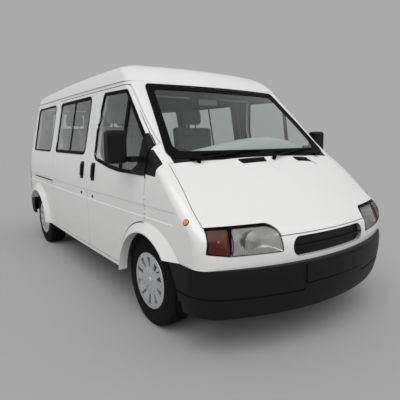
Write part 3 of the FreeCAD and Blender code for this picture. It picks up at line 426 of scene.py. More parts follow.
def glass_material(name, tint, roughness=0.0, ribs=None):
    """Clear or tinted glass that lets light through to what lies behind."""
    tree, principled, coords = shader(name)
    smear = noise(tree, coords["Object"], 7.0, 5.0)
    plug(tree, principled, Roughness=calc(tree, "MULTIPLY_ADD", smear, 0.03, roughness),
         Base_Color=scaled(tree, tint, calc(tree, "MULTIPLY_ADD", smear, 0.05, 0.95)),
         Transmission_Weight=1.0, IOR=1.45)
    if ribs:
        axis, count, strength = ribs
        bumped(tree, principled, waves(tree, coords["Object"], axis, count, Distortion=0.0), strength, 0.002)
    # Shadow rays pass, so that the cabin is lit through the panes
    clear = node(tree, "ShaderNodeBsdfTransparent", Color=(*tint, 1))
    blended(tree, ("Is Shadow Ray", "Is Diffuse Ray"), principled, clear, "Material Output")


def cloth_material(settings):
    """Woven cloth of the seats."""
    tree, principled, coords = shader("seat_cloth")
    weave = effect(tree, "Woven Cloth", Place=coords["Object"], Colour=(*settings.cloth, 1),
                   Fleck=(*[c * 1.7 for c in settings.cloth], 1), Scale=190.0)
    plug(tree, principled, Base_Color=weave["Colour"], Roughness=0.92, Sheen_Weight=0.25, Sheen_Roughness=0.5)
    bumped(tree, principled, weave["Height"], 0.35, 0.0015)


def tail_lens_material():
    """Red, amber and clear bands of the rear lamps, with painted shade in the grooves of their ribs."""
    red, amber, clear, dark = ((0.42, 0.012, 0.010, 1), (0.75, 0.20, 0.02, 1), (0.62, 0.62, 0.6, 1),
                               (0.02, 0.02, 0.02, 1))
    tree, principled, coords = shader("tail_lens")
    height = split(tree, coords["Object"])[2]
    share = node(tree, "ShaderNodeMapRange", From_Min=0.640, From_Max=0.980, Value=height)
    ramp = node(tree, "ShaderNodeValToRGB", Fac=share.outputs[0])
    ramp.color_ramp.interpolation = "CONSTANT"
    stops = ramp.color_ramp.elements
    stops[0].color = red
    stops[1].position = 0.72
    stops[1].color = amber
    for position, colour in ((0.30, dark), (0.315, clear), (0.45, dark), (0.465, red), (0.705, dark)):
        stops.new(position).color = colour
    # Painted shade: the lens colour is darker in each rib's groove, following the same ribs that bump the lens
    ribs = waves(tree, coords["Object"], "Z", 34.0, Distortion=0.0)
    shade = calc(tree, "MULTIPLY_ADD", ribs, 0.35, 0.65)
    plug(tree, principled, Base_Color=scaled(tree, ramp.outputs[0], shade), Roughness=0.12, Coat_Weight=0.8)
    bumped(tree, principled, ribs, 0.4)


def build_materials(settings):
    """Every finish of the vehicle."""
    build_groups()
    paint_material(settings)
    dusty("black_plastic", tuple(settings.plastic), 0.48, amount=0.04, top=0.75, grain=0.10, scale=650.0,
          dust=(0.03, 0.028, 0.025), specular=0.18)
    dusty("rubber_seal", (0.0025, 0.0025, 0.0025), 0.55, amount=0.01, top=2.0, grain=0.05, scale=900.0,
          specular=0.06)
    dusty("tyre_rubber", (0.0065, 0.0065, 0.0068), 0.75, amount=0.10, top=0.7, grain=0.15, scale=700.0,
          dust=(0.03, 0.027, 0.024), specular=0.10)
    dusty("wheel_silver", (0.58, 0.59, 0.60), 0.33, amount=0.30, top=0.75, metallic=0.55, coat=0.35,
          dust=(0.13, 0.12, 0.11))
    dusty("chassis_paint", (0.022, 0.022, 0.022), 0.6, amount=0.85, top=1.0, grain=0.25, scale=200.0,
          dust=(0.12, 0.105, 0.085))
    dusty("cast_iron", (0.11, 0.10, 0.095), 0.62, amount=0.8, top=1.0, metallic=0.6, grain=0.5, scale=260.0,
          dust=(0.13, 0.10, 0.075))
    dusty("pipe_steel", (0.24, 0.22, 0.20), 0.5, amount=0.7, top=0.9, metallic=0.8, grain=0.2, scale=300.0,
          dust=(0.16, 0.10, 0.06))
    dusty("grey_trim", (0.20, 0.205, 0.205), 0.62, amount=0.1, top=1.5, grain=0.22, scale=520.0)
    dusty("pale_trim", (0.56, 0.57, 0.57), 0.5, amount=0.05, top=3.0, grain=0.15, scale=520.0)
    dusty("floor_lining", (0.065, 0.065, 0.068), 0.8, amount=0.6, top=1.2, grain=0.3, scale=300.0)
    dusty("roof_lining", (0.46, 0.455, 0.44), 0.85, amount=0.05, top=3.0, grain=0.3, scale=700.0)
    dusty("lamp_silver", (0.66, 0.66, 0.65), 0.2, amount=0.02, top=2.0, metallic=1.0)
    dusty("plate_blank", (0.70, 0.70, 0.68), 0.4, amount=0.25, top=1.4)
    dusty("mirror_face", (0.82, 0.84, 0.86), 0.03, amount=0.02, top=4.0, metallic=1.0)
    dusty("steel_bolt", (0.45, 0.45, 0.46), 0.35, amount=0.3, top=1.0, metallic=0.9)
    glass_material("window_glass", (0.88, 0.91, 0.90), 0.0)
    glass_material("lamp_lens", (0.90, 0.91, 0.90), 0.04, ribs=("Y", 26.0, 0.75))
    glass_material("amber_lens", (0.36, 0.085, 0.028), 0.05, ribs=("Y", 30.0, 0.5))
    dusty("amber_block", (0.85, 0.25, 0.02), 0.15, amount=0.05, top=2.0, coat=0.8)
    cloth_material(settings)
    tail_lens_material()


# ---------------------------------------------------------------- pieces

# The record's slot that each finish goes with
SLOTS = {
    "body_paint": "white_paint", "black_plastic": "black_plastic", "rubber_seal": "black_plastic",
    "tyre_rubber": "tyre_rubber", "wheel_silver": "silver_wheel", "chassis_paint": "chassis_steel",
    "grey_trim": "grey_trim", "pale_trim": "grey_trim", "roof_lining": "grey_trim",
    "lamp_silver": "lamp_glass", "lamp_lens": "lamp_glass", "amber_lens": "amber_lens",
    "amber_block": "amber_lens", "mirror_face": "clear_glass", "plate_blank": "white_paint",
    "steel_bolt": "bare_iron", "seat_cloth": "seat_cloth",
}


def placed(mesh, name):
    """Object made from a bmesh and linked to the scene."""
    data = bpy.data.meshes.new(name)
    mesh.to_mesh(data)
    mesh.free()
    piece = bpy.data.objects.new(name, data)
    bpy.context.scene.collection.objects.link(piece)
    return piece


def finished(mesh, name, material, body, smooth=35.0, replaces=()):
    """Turn a bmesh into a piece that rides on its body; faces meet smoothly up to an angle in degrees."""
    piece = placed(mesh, name)
    piece.data.materials.append(MADE[material])
    for face in piece.data.polygons:
        face.use_smooth = True
    piece.data.set_sharp_from_angle(angle=math.radians(smooth))
    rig.ride(piece, body)
    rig.slot(piece, SLOTS[material])
    if replaces:
        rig.replaces(piece, *replaces)
    return piece


def turned(profile, centre, steps):
    """Surface of a (y, radius) profile spun about the wheel axis."""
    mesh = bmesh.new()
    dots = [mesh.verts.new((centre.x, centre.y + y, centre.z + r)) for y, r in profile]
    edges = [mesh.edges.new(pair) for pair in zip(dots, dots[1:])]
    bmesh.ops.spin(mesh, geom=dots + edges, cent=centre, axis=(0, 1, 0), angle=2 * math.pi, steps=steps,
                   use_merge=True)
    bmesh.ops.remove_doubles(mesh, verts=mesh.verts, dist=1e-5)
    bmesh.ops.recalc_face_normals(mesh, faces=mesh.faces)
    return mesh


# How far a ray is moved aside when it falls in a slit
SLIT_STEP = 0.002


class Skin:
    """The outer faces of some nodes, for laying trim on them."""

    def __init__(self, *names):
        points = []
        faces = []
        for name in names:
            data = NODES[name].data
            first = len(points)
            points += [v.co.copy() for v in data.vertices]
            faces += [[first + i for i in p.vertices] for p in data.polygons]
        self.tree = BVHTree.FromPolygons(points, faces)

    def cast(self, origin, way, reach):
        """First point and normal along a ray, or beside it where the ray falls in a slit."""
        way = Vector(way)
        across = way.orthogonal().normalized()
        for turn in (None, 0, 90, 180, 270):
            shift = Vector() if turn is None else across * SLIT_STEP
            if turn:
                shift.rotate(Matrix.Rotation(math.radians(turn), 3, way))
            spot, normal = self.tree.ray_cast(Vector(origin) + shift, way, reach)[:2]
            if spot is not None:
                return spot - shift, normal
        raise RuntimeError("no skin at %s" % (origin,))

    def side(self, x, z, side):
        """Point and normal where a ray from the side meets the skin."""
        return self.cast((x, side * 1.5, z), (0, -side, 0), 0.85)

    def front(self, y, z):
        """Point and normal where a ray from the front meets the skin."""
        return self.cast((4.0, y, z), (-1, 0, 0), 3.6)

    def tail(self, y, z):
        """Point and normal where a ray from behind meets the skin."""
        return self.cast((-4.0, y, z), (1, 0, 0), 2.1)

    def top(self, x, y):
        """Point and normal where a ray from above meets the skin."""
        return self.cast((x, y, 2.6), (0, 0, -1), 2.4)


def rounded(points, radius, steps=6):
    """Outline of straight runs with rounded corners, as 2-D points."""
    out = []
    count = len(points)
    for i in range(count):
        here = Vector(points[i])
        r = radius[i] if isinstance(radius, (list, tuple)) else radius
        a = (Vector(points[i - 1]) - here).normalized()
        b = (Vector(points[(i + 1) % count]) - here).normalized()
        half = a.angle(b) / 2
        if r <= 0:
            out.append(here)
            continue
        reach = r / math.tan(half)
        centre = here + (a + b).normalized() * (r / math.sin(half))
        start = here + a * reach - centre
        end = here + b * reach - centre
        sweep = math.atan2(start.x * end.y - start.y * end.x, start.dot(end))
        for k in range(steps + 1):
            t = sweep * k / steps
            out.append(centre + Vector((start.x * math.cos(t) - start.y * math.sin(t),
                                        start.x * math.sin(t) + start.y * math.cos(t))))
    return out


def corners(x0, z0, x1, z1):
    """The four corners of an upright rectangle."""
    return [(x0, z0), (x1, z0), (x1, z1), (x0, z1)]


def thickened(mesh, lift, proud, lay):
    """Lay a flat sheet on the skin and raise it to a height; lay maps 2-D to point and normal."""
    laid = [(vert, *lay(vert.co.x, vert.co.y)) for vert in mesh.verts]
    for vert, spot, normal in laid:
        vert.co = spot + normal * lift
    raised = bmesh.ops.extrude_face_region(mesh, geom=list(mesh.faces), use_keep_orig=True)["geom"]
    for vert in [g for g in raised if isinstance(g, bmesh.types.BMVert)]:
        near = min(laid, key=lambda row: (row[0].co - vert.co).length_squared)
        vert.co += near[2] * proud
    bmesh.ops.recalc_face_normals(mesh, faces=mesh.faces)
    return mesh


# How far under the skin a plate or rim starts, and how high it is from there
PLATE = (-0.001, 0.004)
# The longest edge of a strip, so that it follows a curved skin
LONGEST_EDGE = 0.06


def strip_around(outline, inward, outward, lift, proud, lay):
    """Raised strip laid on the skin along a closed outline."""
    mesh = bmesh.new()
    face = mesh.faces.new([mesh.verts.new((p[0], p[1], 0)) for p in outline])
    for width, out in ((outward, True), (inward, False)):
        bmesh.ops.inset_region(mesh, faces=[face], thickness=width, use_outset=out, use_even_offset=True,
                               use_boundary=True)
        face = max(mesh.faces, key=lambda f: len(f.verts))
    bmesh.ops.delete(mesh, geom=[face], context="FACES_ONLY")
    for _ in range(4):
        long_edges = [e for e in mesh.edges if e.calc_length() > LONGEST_EDGE]
        if long_edges:
            bmesh.ops.subdivide_edges(mesh, edges=long_edges, cuts=1, use_grid_fill=True)
    bmesh.ops.remove_doubles(mesh, verts=mesh.verts, dist=1e-6)
    return thickened(mesh, lift, proud, lay)


def grow_ring(mesh, edges, old, new):
    """Extrude a ring of edges and move its points from the old places to the new ones."""
    out = bmesh.ops.extrude_edge_only(mesh, edges=edges)["geom"]
    for vert in [g for g in out if isinstance(g, bmesh.types.BMVert)]:
        k = min(range(len(old)), key=lambda i: (old[i] - vert.co).length_squared)
        vert.co = new[k]
    return [g for g in out if isinstance(g, bmesh.types.BMEdge) and g.is_boundary]


def first_ring(mesh, places):
    """Closed ring of edges through some places."""
    dots = [mesh.verts.new(p) for p in places]
    return [mesh.edges.new((dots[i - 1], dots[i])) for i in range(len(dots))]


def lofted(rings):
    """Closed form through rings of equal counts."""
    mesh = bmesh.new()
    edges = first_ring(mesh, rings[0])
    for old, new in zip(rings, rings[1:]):
        edges = grow_ring(mesh, edges, old, new)
    bmesh.ops.holes_fill(mesh, edges=mesh.edges[:], sides=0)
    bmesh.ops.recalc_face_normals(mesh, faces=mesh.faces)
    return mesh


def sweep(path, outline, ups):
    """Bar of one section, given as (across, up) points, along a path with an up way at each place."""
    path = [Vector(p) for p in path]
    rings = []
    for i, here in enumerate(path):
        ahead = (path[min(i + 1, len(path) - 1)] - path[max(i - 1, 0)]).normalized()
        across = ahead.cross(Vector(ups[i])).normalized()
        top = across.cross(ahead)
        rings.append([here + across * a + top * b for a, b in outline])
    return lofted(rings)


def dish(outline, centre, lay, depth, rings=6, thick=0.003):
    """Closed shell over an outline, laid on the skin and pushed in by depth(share of the way out)."""
    def sunk(point, share, extra):
        # A ray that meets the lamp's flat edge is moved in towards the middle
        for back in (1.0, 0.985, 0.97, 0.95, 0.92):
            flat = centre + (point - centre) * (share * back)
            spot, normal = lay(flat.x, flat.y)
            if abs(normal.z) < 0.7:
                break
        return spot - normal * (depth(share) + extra)

    stops = [k / rings for k in range(1, rings + 1)]
    stages = [(share, thick) for share in stops] + [(share, 0.0) for share in reversed(stops)]
    mesh = bmesh.new()
    old = [sunk(p, *stages[0]) for p in outline]
    edges = first_ring(mesh, old)
    hubs = [(list({v for e in edges for v in e.verts}), sunk(centre, 0.0, thick))]
    for stage in stages[1:]:
        new = [sunk(p, *stage) for p in outline]
        edges = grow_ring(mesh, edges, old, new)
        old = new
    hubs.append((list({v for e in edges for v in e.verts}), sunk(centre, 0.0, 0.0)))
    for dots, middle in hubs:
        bmesh.ops.pointmerge(mesh, verts=dots, merge_co=middle)
    bmesh.ops.recalc_face_normals(mesh, faces=mesh.faces)
    return mesh


def block(centre, size, soft, turn=None, segments=3):
    """Box with rounded edges."""
    mesh = bmesh.new()
    bmesh.ops.create_cube(mesh, size=1.0)
    bmesh.ops.scale(mesh, vec=size, verts=mesh.verts)
    bmesh.ops.bevel(mesh, geom=mesh.edges[:], offset=soft, segments=segments, profile=0.5, affect="EDGES",
                    material=-1)
    if turn:
        bmesh.ops.rotate(mesh, cent=(0, 0, 0), matrix=turn, verts=mesh.verts)
    bmesh.ops.translate(mesh, vec=centre, verts=mesh.verts)
    return mesh


def rod(centre, way, radius, length, soft=0.0, steps=24, tip=None):
    """Round bar about a centre, or a cone where the tip's radius is given."""
    mesh = bmesh.new()
    bmesh.ops.create_cone(mesh, cap_ends=True, segments=steps, radius1=radius,
                          radius2=radius if tip is None else tip, depth=length)
    if soft:
        rims = [e for e in mesh.edges if abs(e.verts[0].co.z - e.verts[1].co.z) < 1e-6]
        bmesh.ops.bevel(mesh, geom=rims, offset=soft, segments=2, profile=0.5, affect="EDGES", material=-1)
    turn = Vector((0, 0, 1)).rotation_difference(Vector(way)).to_matrix()
    bmesh.ops.rotate(mesh, cent=(0, 0, 0), matrix=turn, verts=mesh.verts)
    bmesh.ops.translate(mesh, vec=centre, verts=mesh.verts)
    return mesh


def merged(parts):
    """All the parts in one bmesh."""
    whole = bmesh.new()
    for part in parts:
        data = bpy.data.meshes.new("part")
        part.to_mesh(data)
        part.free()
        whole.from_mesh(data)
        bpy.data.meshes.remove(data)
    return whole


def section(wide, tall):
    """Rectangular section of a bar."""
    return [(a * wide, b * tall) for a, b in corners(-0.5, -0.5, 0.5, 0.5)]


def samples(points, step=0.04):
    """Points along straight runs, no further apart than the step."""
    out = []
    for start, end in zip(points, points[1:]):
        start, end = Vector(start), Vector(end)
        count = max(1, math.ceil((end - start).length / step))
        out += [start.lerp(end, k / count) for k in range(count)]
    return out + [Vector(points[-1])]


def band(outer, inner, lift, proud, lay, rings=3):
    """Raised band between two closed outlines of equal counts, laid on the skin."""
    outer, inner = [[q for i, p in enumerate(loop) for q in halves(p, loop[(i + 1) % len(loop)])]
                    for loop in (outer, inner)]

    def ring(share, height):
        out = []
        for a, b in zip(outer, inner):
            spot, normal = lay(*a.lerp(b, share))
            out.append(spot + normal * height)
        return out

    mesh = bmesh.new()
    old = ring(0.0, lift)
    edges = first_ring(mesh, old)
    for share, height in [(k / rings, lift + proud) for k in range(rings + 1)] + [(1.0, lift)]:
        new = ring(share, height)
        edges = grow_ring(mesh, edges, old, new)
        old = new
    bmesh.ops.bridge_loops(mesh, edges=[e for e in mesh.edges if e.is_boundary])
    bmesh.ops.recalc_face_normals(mesh, faces=mesh.faces)
    return mesh


def halves(start, end, long=0.2, most=16):
    """The start of a run and, where it is long, even stops along it."""
    count = most if (end - start).length > long else 1
    return [start.lerp(end, k / count) for k in range(count)]


def bar_on(points, lay, wide, tall, lift=0.0, step=0.04):
    """Bar laid on the skin along 2-D points; lift is the height of its middle over the skin."""
    spots, normals = zip(*[lay(q.x, q.y) for q in samples(points, step)])
    path = [spot + normal * lift for spot, normal in zip(spots, normals)]
    return sweep(path, section(wide, tall), normals)


def over_gap(cast, axis, a, b, beside=0.010, step=0.015):
    """Skin beside a slit, carried over to its middle; axis is the one that the rays run along.

    Of the places beside it, the lowest counts that is less than a step under the highest."""
    hits = []
    for da, db in ((beside, 0), (-beside, 0), (0, beside), (0, -beside)):
        try:
            spot, normal = cast(a + da, b + db)
        except RuntimeError:
            continue
        hits.append((abs(spot[axis]), spot, normal, da, db))
    outer = max(h[0] for h in hits)
    _, spot, normal, da, db = min((h for h in hits if h[0] > outer - step), key=lambda h: h[0])
    back = Vector((0, -da, -db)) if axis == 0 else Vector((-da, 0, -db))
    return spot + back, normal


def cut(mesh, axis, place):
    """Cut a mesh across one axis."""
    at_place, way = Vector((0, 0, 0)), Vector((0, 0, 0))
    at_place[axis], way[axis] = place, 1.0
    bmesh.ops.bisect_plane(mesh, geom=mesh.verts[:] + mesh.edges[:] + mesh.faces[:], plane_co=at_place,
                           plane_no=way, dist=1e-5)


def plate_on(outline, lay, lift, proud, cuts=0.03):
    """Raised plate laid on the skin over a closed outline, cut so that it follows a curved skin."""
    mesh = bmesh.new()
    mesh.faces.new([mesh.verts.new((q[0], q[1], 0)) for q in outline])
    for axis in (0, 1):
        low, high = [bound(q[axis] for q in outline) for bound in (min, max)]
        count = math.ceil((high - low) / cuts)
        for k in range(1, count):
            cut(mesh, axis, low + (high - low) * k / count)
    return thickened(mesh, lift, proud, lay)


# How far a channel's stitches pull the cloth, the places where it is cut, and the size of the pads' faces
CHANNEL_WIDTH = 0.006
CHANNEL_CUTS = (-0.020, -0.010, -0.005, 0.0, 0.005, 0.010, 0.020)
PAD_GRID = 0.035


def pad(low, high, soft, crown, axis, seams, channel, lean=0.0, pinch=0.006, dome=0.0):
    """Padded form in a box: rounded, crowned along one axis and sewn along channels.

    seams holds (axis, place) pairs; lean shifts the top back along X; dome narrows the top."""
    low, high = Vector(low), Vector(high)
    half = (high - low) / 2
    centre = (high + low) / 2
    mesh = bmesh.new()
    bmesh.ops.create_cube(mesh, size=2.0)
    bmesh.ops.scale(mesh, vec=half, verts=mesh.verts)
    for i in range(3):
        span = half[i]
        stops = {round(s * (span - soft * (1 - math.cos(math.radians(t)))), 5)
                 for s in (-1, 1) for t in (25, 45, 65, 90)}
        count = max(2, math.ceil(2 * (span - soft) / PAD_GRID))
        stops |= {round((span - soft) * (2 * k / count - 1), 5) for k in range(count + 1)}
        for across, place in seams:
            if across == i:
                stops |= {round(place - centre[i] + off, 5) for off in CHANNEL_CUTS}
        for stop in sorted(stops):
            if abs(stop) < span - 1e-4:
                cut(mesh, i, stop)
    sides = [k for k in range(3) if k != axis]
    for vert in mesh.verts:
        core = Vector([max(soft - h, min(h - soft, c)) for c, h in zip(vert.co, half)])
        way = (vert.co - core).normalized()
        spot = core + way * soft
        shares = [1 - min(1.0, abs(spot[k]) / half[k]) ** 2 for k in range(3)]
        rise = crown * (shares[sides[0]] * shares[sides[1]]) ** 0.5
        for across, seam in seams:
            near = (spot[across] - (seam - centre[across])) / CHANNEL_WIDTH
            rise -= channel * math.exp(-near * near) * min(1.0, 6.0 * min(shares[k] for k in sides if k != across))
        spot[axis] += rise * (1 if spot[axis] > 0 else -1) * abs(way[axis]) ** 0.5
        for k in sides:
            spot[k] -= pinch * shares[sides[1] if k == sides[0] else sides[0]] * way[k]
        up = (spot.z + half.z) / (2 * half.z)
        spot.x -= lean * up
        spot.y *= 1.0 - dome * max(0.0, up - 0.35) ** 2
        vert.co = centre + spot
    bmesh.ops.recalc_face_normals(mesh, faces=mesh.faces)
    return mesh


# ---------------------------------------------------------------- outlines

# On the sides (X from the front axle, z), at the front and the rear (y, z)
SLIDER_WINDOW = [(-1.125, 1.182), (-1.125, 1.712), (-2.080, 1.712), (-2.080, 1.182)]
FRONT_SEAL = [(0.015, 1.076), (0.015, 1.286), (-0.415, 1.702), (-0.845, 1.712), (-0.905, 1.406), (-0.884, 1.152),
              (-0.550, 1.096), (-0.356, 1.079)]
SEAL_CORNERS = [0.012, 0.030, 0.035, 0.045, 0.300, 0.085, 0.300, 0.300]
QUARTER_WINDOW = [(-2.275, 1.182), (-2.275, 1.712), (-3.120, 1.712), (-3.120, 1.182)]
TAIL_WINDOW = [(0.590, 1.175), (0.545, 1.690), (0.075, 1.690), (0.075, 1.175)]
SCREEN_OUTER = [(-0.824, 1.192), (-0.692, 1.751), (0.692, 1.751), (0.824, 1.192)]
SCREEN_INNER = [(-0.748, 1.236), (-0.640, 1.706), (0.640, 1.706), (0.748, 1.236)]
FRONT_DOOR = [(0.043, 0.76), (0.043, 1.292), (-0.429, 1.741), (-1.023, 1.741), (-1.023, 0.369), (-0.46, 0.369)]
SLIDING_DOOR = [(-1.04, 1.741), (-2.10, 1.741), (-2.133, 1.70), (-2.133, 0.41), (-2.10, 0.369), (-1.04, 0.369)]
CORNER_PLATE_GAP = [(0.043, 1.060), (0.043, 1.292), (-0.020, 1.352)]

# Lamps on the right side as seen from the front, (y, z), with their corner radii
LAMPS = {
    "headlamps": ([(-0.7325, 0.8085), (-0.4415, 0.8085), (-0.4325, 0.6535), (-0.7565, 0.6555)],
                  [0.008, 0.068, 0.010, 0.008]),
    "indicators": ([(-0.8900, 0.6790), (-0.8690, 0.8080), (-0.7410, 0.8080), (-0.7655, 0.6560)],
                   [0.010, 0.006, 0.006, 0.008]),
}

# Seats: front of the cushion, its base, both sides, and the middle of each place
SEATS = (
    (-0.780, 0.800, 0.130, 0.620, (0.375,)),
    (-0.780, 0.800, -0.700, 0.020, (-0.520, -0.160)),
    (-1.620, 0.800, -0.640, 0.560, (-0.440, -0.040, 0.360)),
    (-2.450, 0.820, -0.600, 0.600, (-0.400, 0.0, 0.400)),
)

SKINS = {}


def skin(*names):
    """Skin of some nodes, made once."""
    if names not in SKINS:
        SKINS[names] = Skin(*names)
    return SKINS[names]


def along_x(outline):
    """An outline from the front axle, in the vehicle's frame."""
    return [(at(x), z) for x, z in outline]


def side_laid(which, side):
    """The skin as seen from one side."""
    return lambda x, z: which.side(x, z, side)


# ---------------------------------------------------------------- operators

# The nodes that each finish goes on
FINISHES = {
    "body_paint": ["windscreen_frame", "front_panel", "wings", "bonnet", "front_door_right", "front_door_left",
                   "sliding_door", "side_panel_right", "side_panel_left", "rear_door_right", "rear_door_left",
                   "roof_panel"],
    "black_plastic": ["bumpers", "black_trim", "door_fittings_right", "door_fittings_left", "steering_wheel"],
    "window_glass": ["front_door_glass_right", "front_door_glass_left", "rear_door_glass_right",
                     "rear_door_glass_left", "fixed_glass"],
    "chassis_paint": ["wheel_housings", "chassis_rails", "front_subframe", "fuel_tank"],
    "cast_iron": ["rear_axle", "engine_block", "knuckle_right", "knuckle_left"],
    "pipe_steel": ["exhaust"],
    "floor_lining": ["floor_pan"],
    "grey_trim": ["dashboard"],
    "wheel_silver": ["rim_front_right", "rim_front_left", "rim_rear_right", "rim_rear_left"],
    "tail_lens": ["tail_lamps"],
    "tyre_rubber": ["tyre_front_right", "tyre_front_left", "tyre_rear_right", "tyre_rear_left"],
    "seat_cloth": ["seats"],
    "lamp_lens": ["headlamps"],
    "amber_block": ["indicators"],
}


class MINIBUS_OT_finishes(bpy.types.Operator):
    """Make every material and give the vehicle's own panels theirs"""

    bl_idname = "minibus.finishes"
    bl_label = "Finishes"

    def execute(self, context):
        build_materials(context.scene.minibus_paint)
        for material, names in FINISHES.items():
            for name in names:
                slots = NODES[name].data.materials
                if not slots:
                    slots.append(MADE[material])
                for i in range(len(slots)):
                    slots[i] = MADE[material]
        return {"FINISHED"}


# Half of the tyre's section outside the tread, as (half width, radius), and the ribs between its grooves
SIDEWALL = [(0.082, 0.3125), (0.0845, 0.308), (0.0885, 0.297), (0.0905, 0.293), (0.0930, 0.280), (0.0965, 0.255),
            (0.0970, 0.2515), (0.0975, 0.240), (0.0968, 0.228), (0.0950, 0.219), (0.0958, 0.215), (0.0950, 0.209),
            (0.0915, 0.2005), (0.0880, 0.1945)]
RIBS = ((0.0, 0.0165), (0.0185, 0.0335), (0.0355, 0.052), (0.053, 0.081))
# Slant of the blocks in radians per metre from the middle, up to the shoulder and outside a radius
SLANT = 1.1
SHOULDER = 0.085
SLANT_RADIUS = 0.29
# Half the width of the cuts around each block
CUT = 0.0016


class MINIBUS_OT_tyres(bpy.types.Operator):
    """Add the four tyres with their tread blocks and ringed sidewalls"""

    bl_idname = "minibus.tyres"
    bl_label = "Tyres"

    def execute(self, context):
        settings = context.scene.minibus_tyres
        base = WHEEL_RADIUS - settings.depth
        half = [(0.0, base), (0.017, base), (0.018, base - 0.001), (0.034, base - 0.001), (0.035, base),
                (0.052, base), (0.053, base - 0.001), (0.070, base - 0.003)] + SIDEWALL
        profile = [(-y, r) for y, r in reversed(half[1:])] + half
        for end, x in AXLES:
            for side_name, side in SIDES:
                centre = Vector((at(x), side * TRACK_HALF, WHEEL_RADIUS))
                mesh = turned(profile, centre, settings.pitches)
                for vert in mesh.verts:
                    offset = vert.co - centre
                    if math.hypot(offset.x, offset.z) > SLANT_RADIUS:
                        lean = SLANT * min(abs(offset.y), SHOULDER)
                        offset.rotate(Matrix.Rotation(lean, 3, "Y"))
                    vert.co = centre + offset
                tread = []
                for face in mesh.faces:
                    middle = face.calc_center_median() - centre
                    if math.hypot(middle.x, middle.z) > base - 0.009:
                        if any(near <= abs(middle.y) < far for near, far in RIBS):
                            tread.append(face)
                bmesh.ops.inset_individual(mesh, faces=tread, thickness=CUT, depth=settings.depth - 0.0006)
                name = "tyre_%s_%s" % (end, side_name)
                finished(mesh, "tread_" + name, "tyre_rubber", "wheel_%s_%s" % (end, side_name),
                         smooth=28.0, replaces=[name])
        return {"FINISHED"}


class MINIBUS_OT_seals(bpy.types.Operator):
    """Lay the rubber seals around every window"""

    bl_idname = "minibus.seals"
    bl_label = "Window seals"

    def execute(self, context):
        settings = context.scene.minibus_seals
        bury = 0.002  # how far a seal reaches into the skin

        def seal(name, body, outline, radius, inward, outward, lay):
            wide = settings.width
            mesh = strip_around(rounded(outline, radius), wide * inward, wide * outward, -bury,
                                settings.proud + bury, lay)
            finished(mesh, name, "rubber_seal", body)

        for name, side in SIDES:
            door = side_laid(skin("front_door_" + name, "front_door_glass_" + name), side)
            wall = side_laid(skin("side_panel_" + name, "sliding_door", "fixed_glass"), side)
            rear = skin("rear_door_" + name, "rear_door_glass_" + name).tail
            tail_window = [(side * y, z) for y, z in TAIL_WINDOW]
            seal("front_door_seal_" + name, "front_door_" + name, along_x(FRONT_SEAL), SEAL_CORNERS, 1.3, 0.15, door)
            seal("slider_seal_" + name, "body", along_x(SLIDER_WINDOW), 0.06, 1.5, 0.3, wall)
            seal("quarter_seal_" + name, "body", along_x(QUARTER_WINDOW), 0.06, 0.9, 0.3, wall)
            seal("rear_door_seal_" + name, "rear_door_" + name, tail_window, 0.045, 0.6, 0.4, rear)
        screen = skin("windscreen_frame", "fixed_glass", "black_trim", "roof_panel")
        mesh = band(rounded(SCREEN_OUTER, 0.045), rounded(SCREEN_INNER, 0.045), -bury, 0.007, screen.front)
        finished(mesh, "windscreen_seal", "rubber_seal", "body")
        return {"FINISHED"}


# Width, height and depth under the skin of the dark rubber bar in a door's gap; it is painted shade, standing in for
# the shadow that falls in the gap
GAP_SHADE_BAR = (0.0050, 0.003, -0.007)


class MINIBUS_OT_lines(bpy.types.Operator):
    """Lay dark rubber in the door gaps as painted shadow of the shut lines, and add the window bars"""

    bl_idname = "minibus.lines"
    bl_label = "Door gaps and window bars"

    def execute(self, context):
        for name, side in SIDES:
            wall = skin("side_panel_" + name, "sliding_door", "front_door_" + name, "roof_panel", "wings",
                        "windscreen_frame", "front_door_glass_" + name, "fixed_glass")

            def gap(x, z, cast=side_laid(wall, side)):
                return over_gap(cast, 1, x, z)

            # Painted shade: dark bars in the door gaps and along the corner plate's gap stand in for the shadow that
            # falls there
            parts = [bar_on(along_x(FRONT_DOOR), gap, *GAP_SHADE_BAR)]
            if side < 0:
                parts.append(bar_on(along_x(SLIDING_DOOR), gap, *GAP_SHADE_BAR))
            parts.append(bar_on(along_x(CORNER_PLATE_GAP), gap, 0.0054, 0.010, 0.000, 0.02))
            finished(merged(parts), "door_gap_rubber_" + name, "rubber_seal", "body")
            panes = side_laid(skin("side_panel_" + name, "sliding_door", "fixed_glass"), side)
            bar = bar_on(along_x([(-1.585, 1.190), (-1.585, 1.704)]), panes, 0.022, 0.006, 0.002)
            finished(bar, "window_bar_" + name, "rubber_seal", "body")
            pane = side_laid(skin("front_door_glass_" + name), side)
            bar = bar_on(along_x([(-0.356, 1.105), (-0.356, 1.630)]), pane, 0.040, 0.008, 0.003)
            finished(bar, "quarter_light_bar_" + name, "rubber_seal", "front_door_" + name)
        return {"FINISHED"}


# Depth under the skin of the lenses and of the reflectors' edges
LENS_DEPTH = 0.0005
BOWL_DEPTH = 0.006


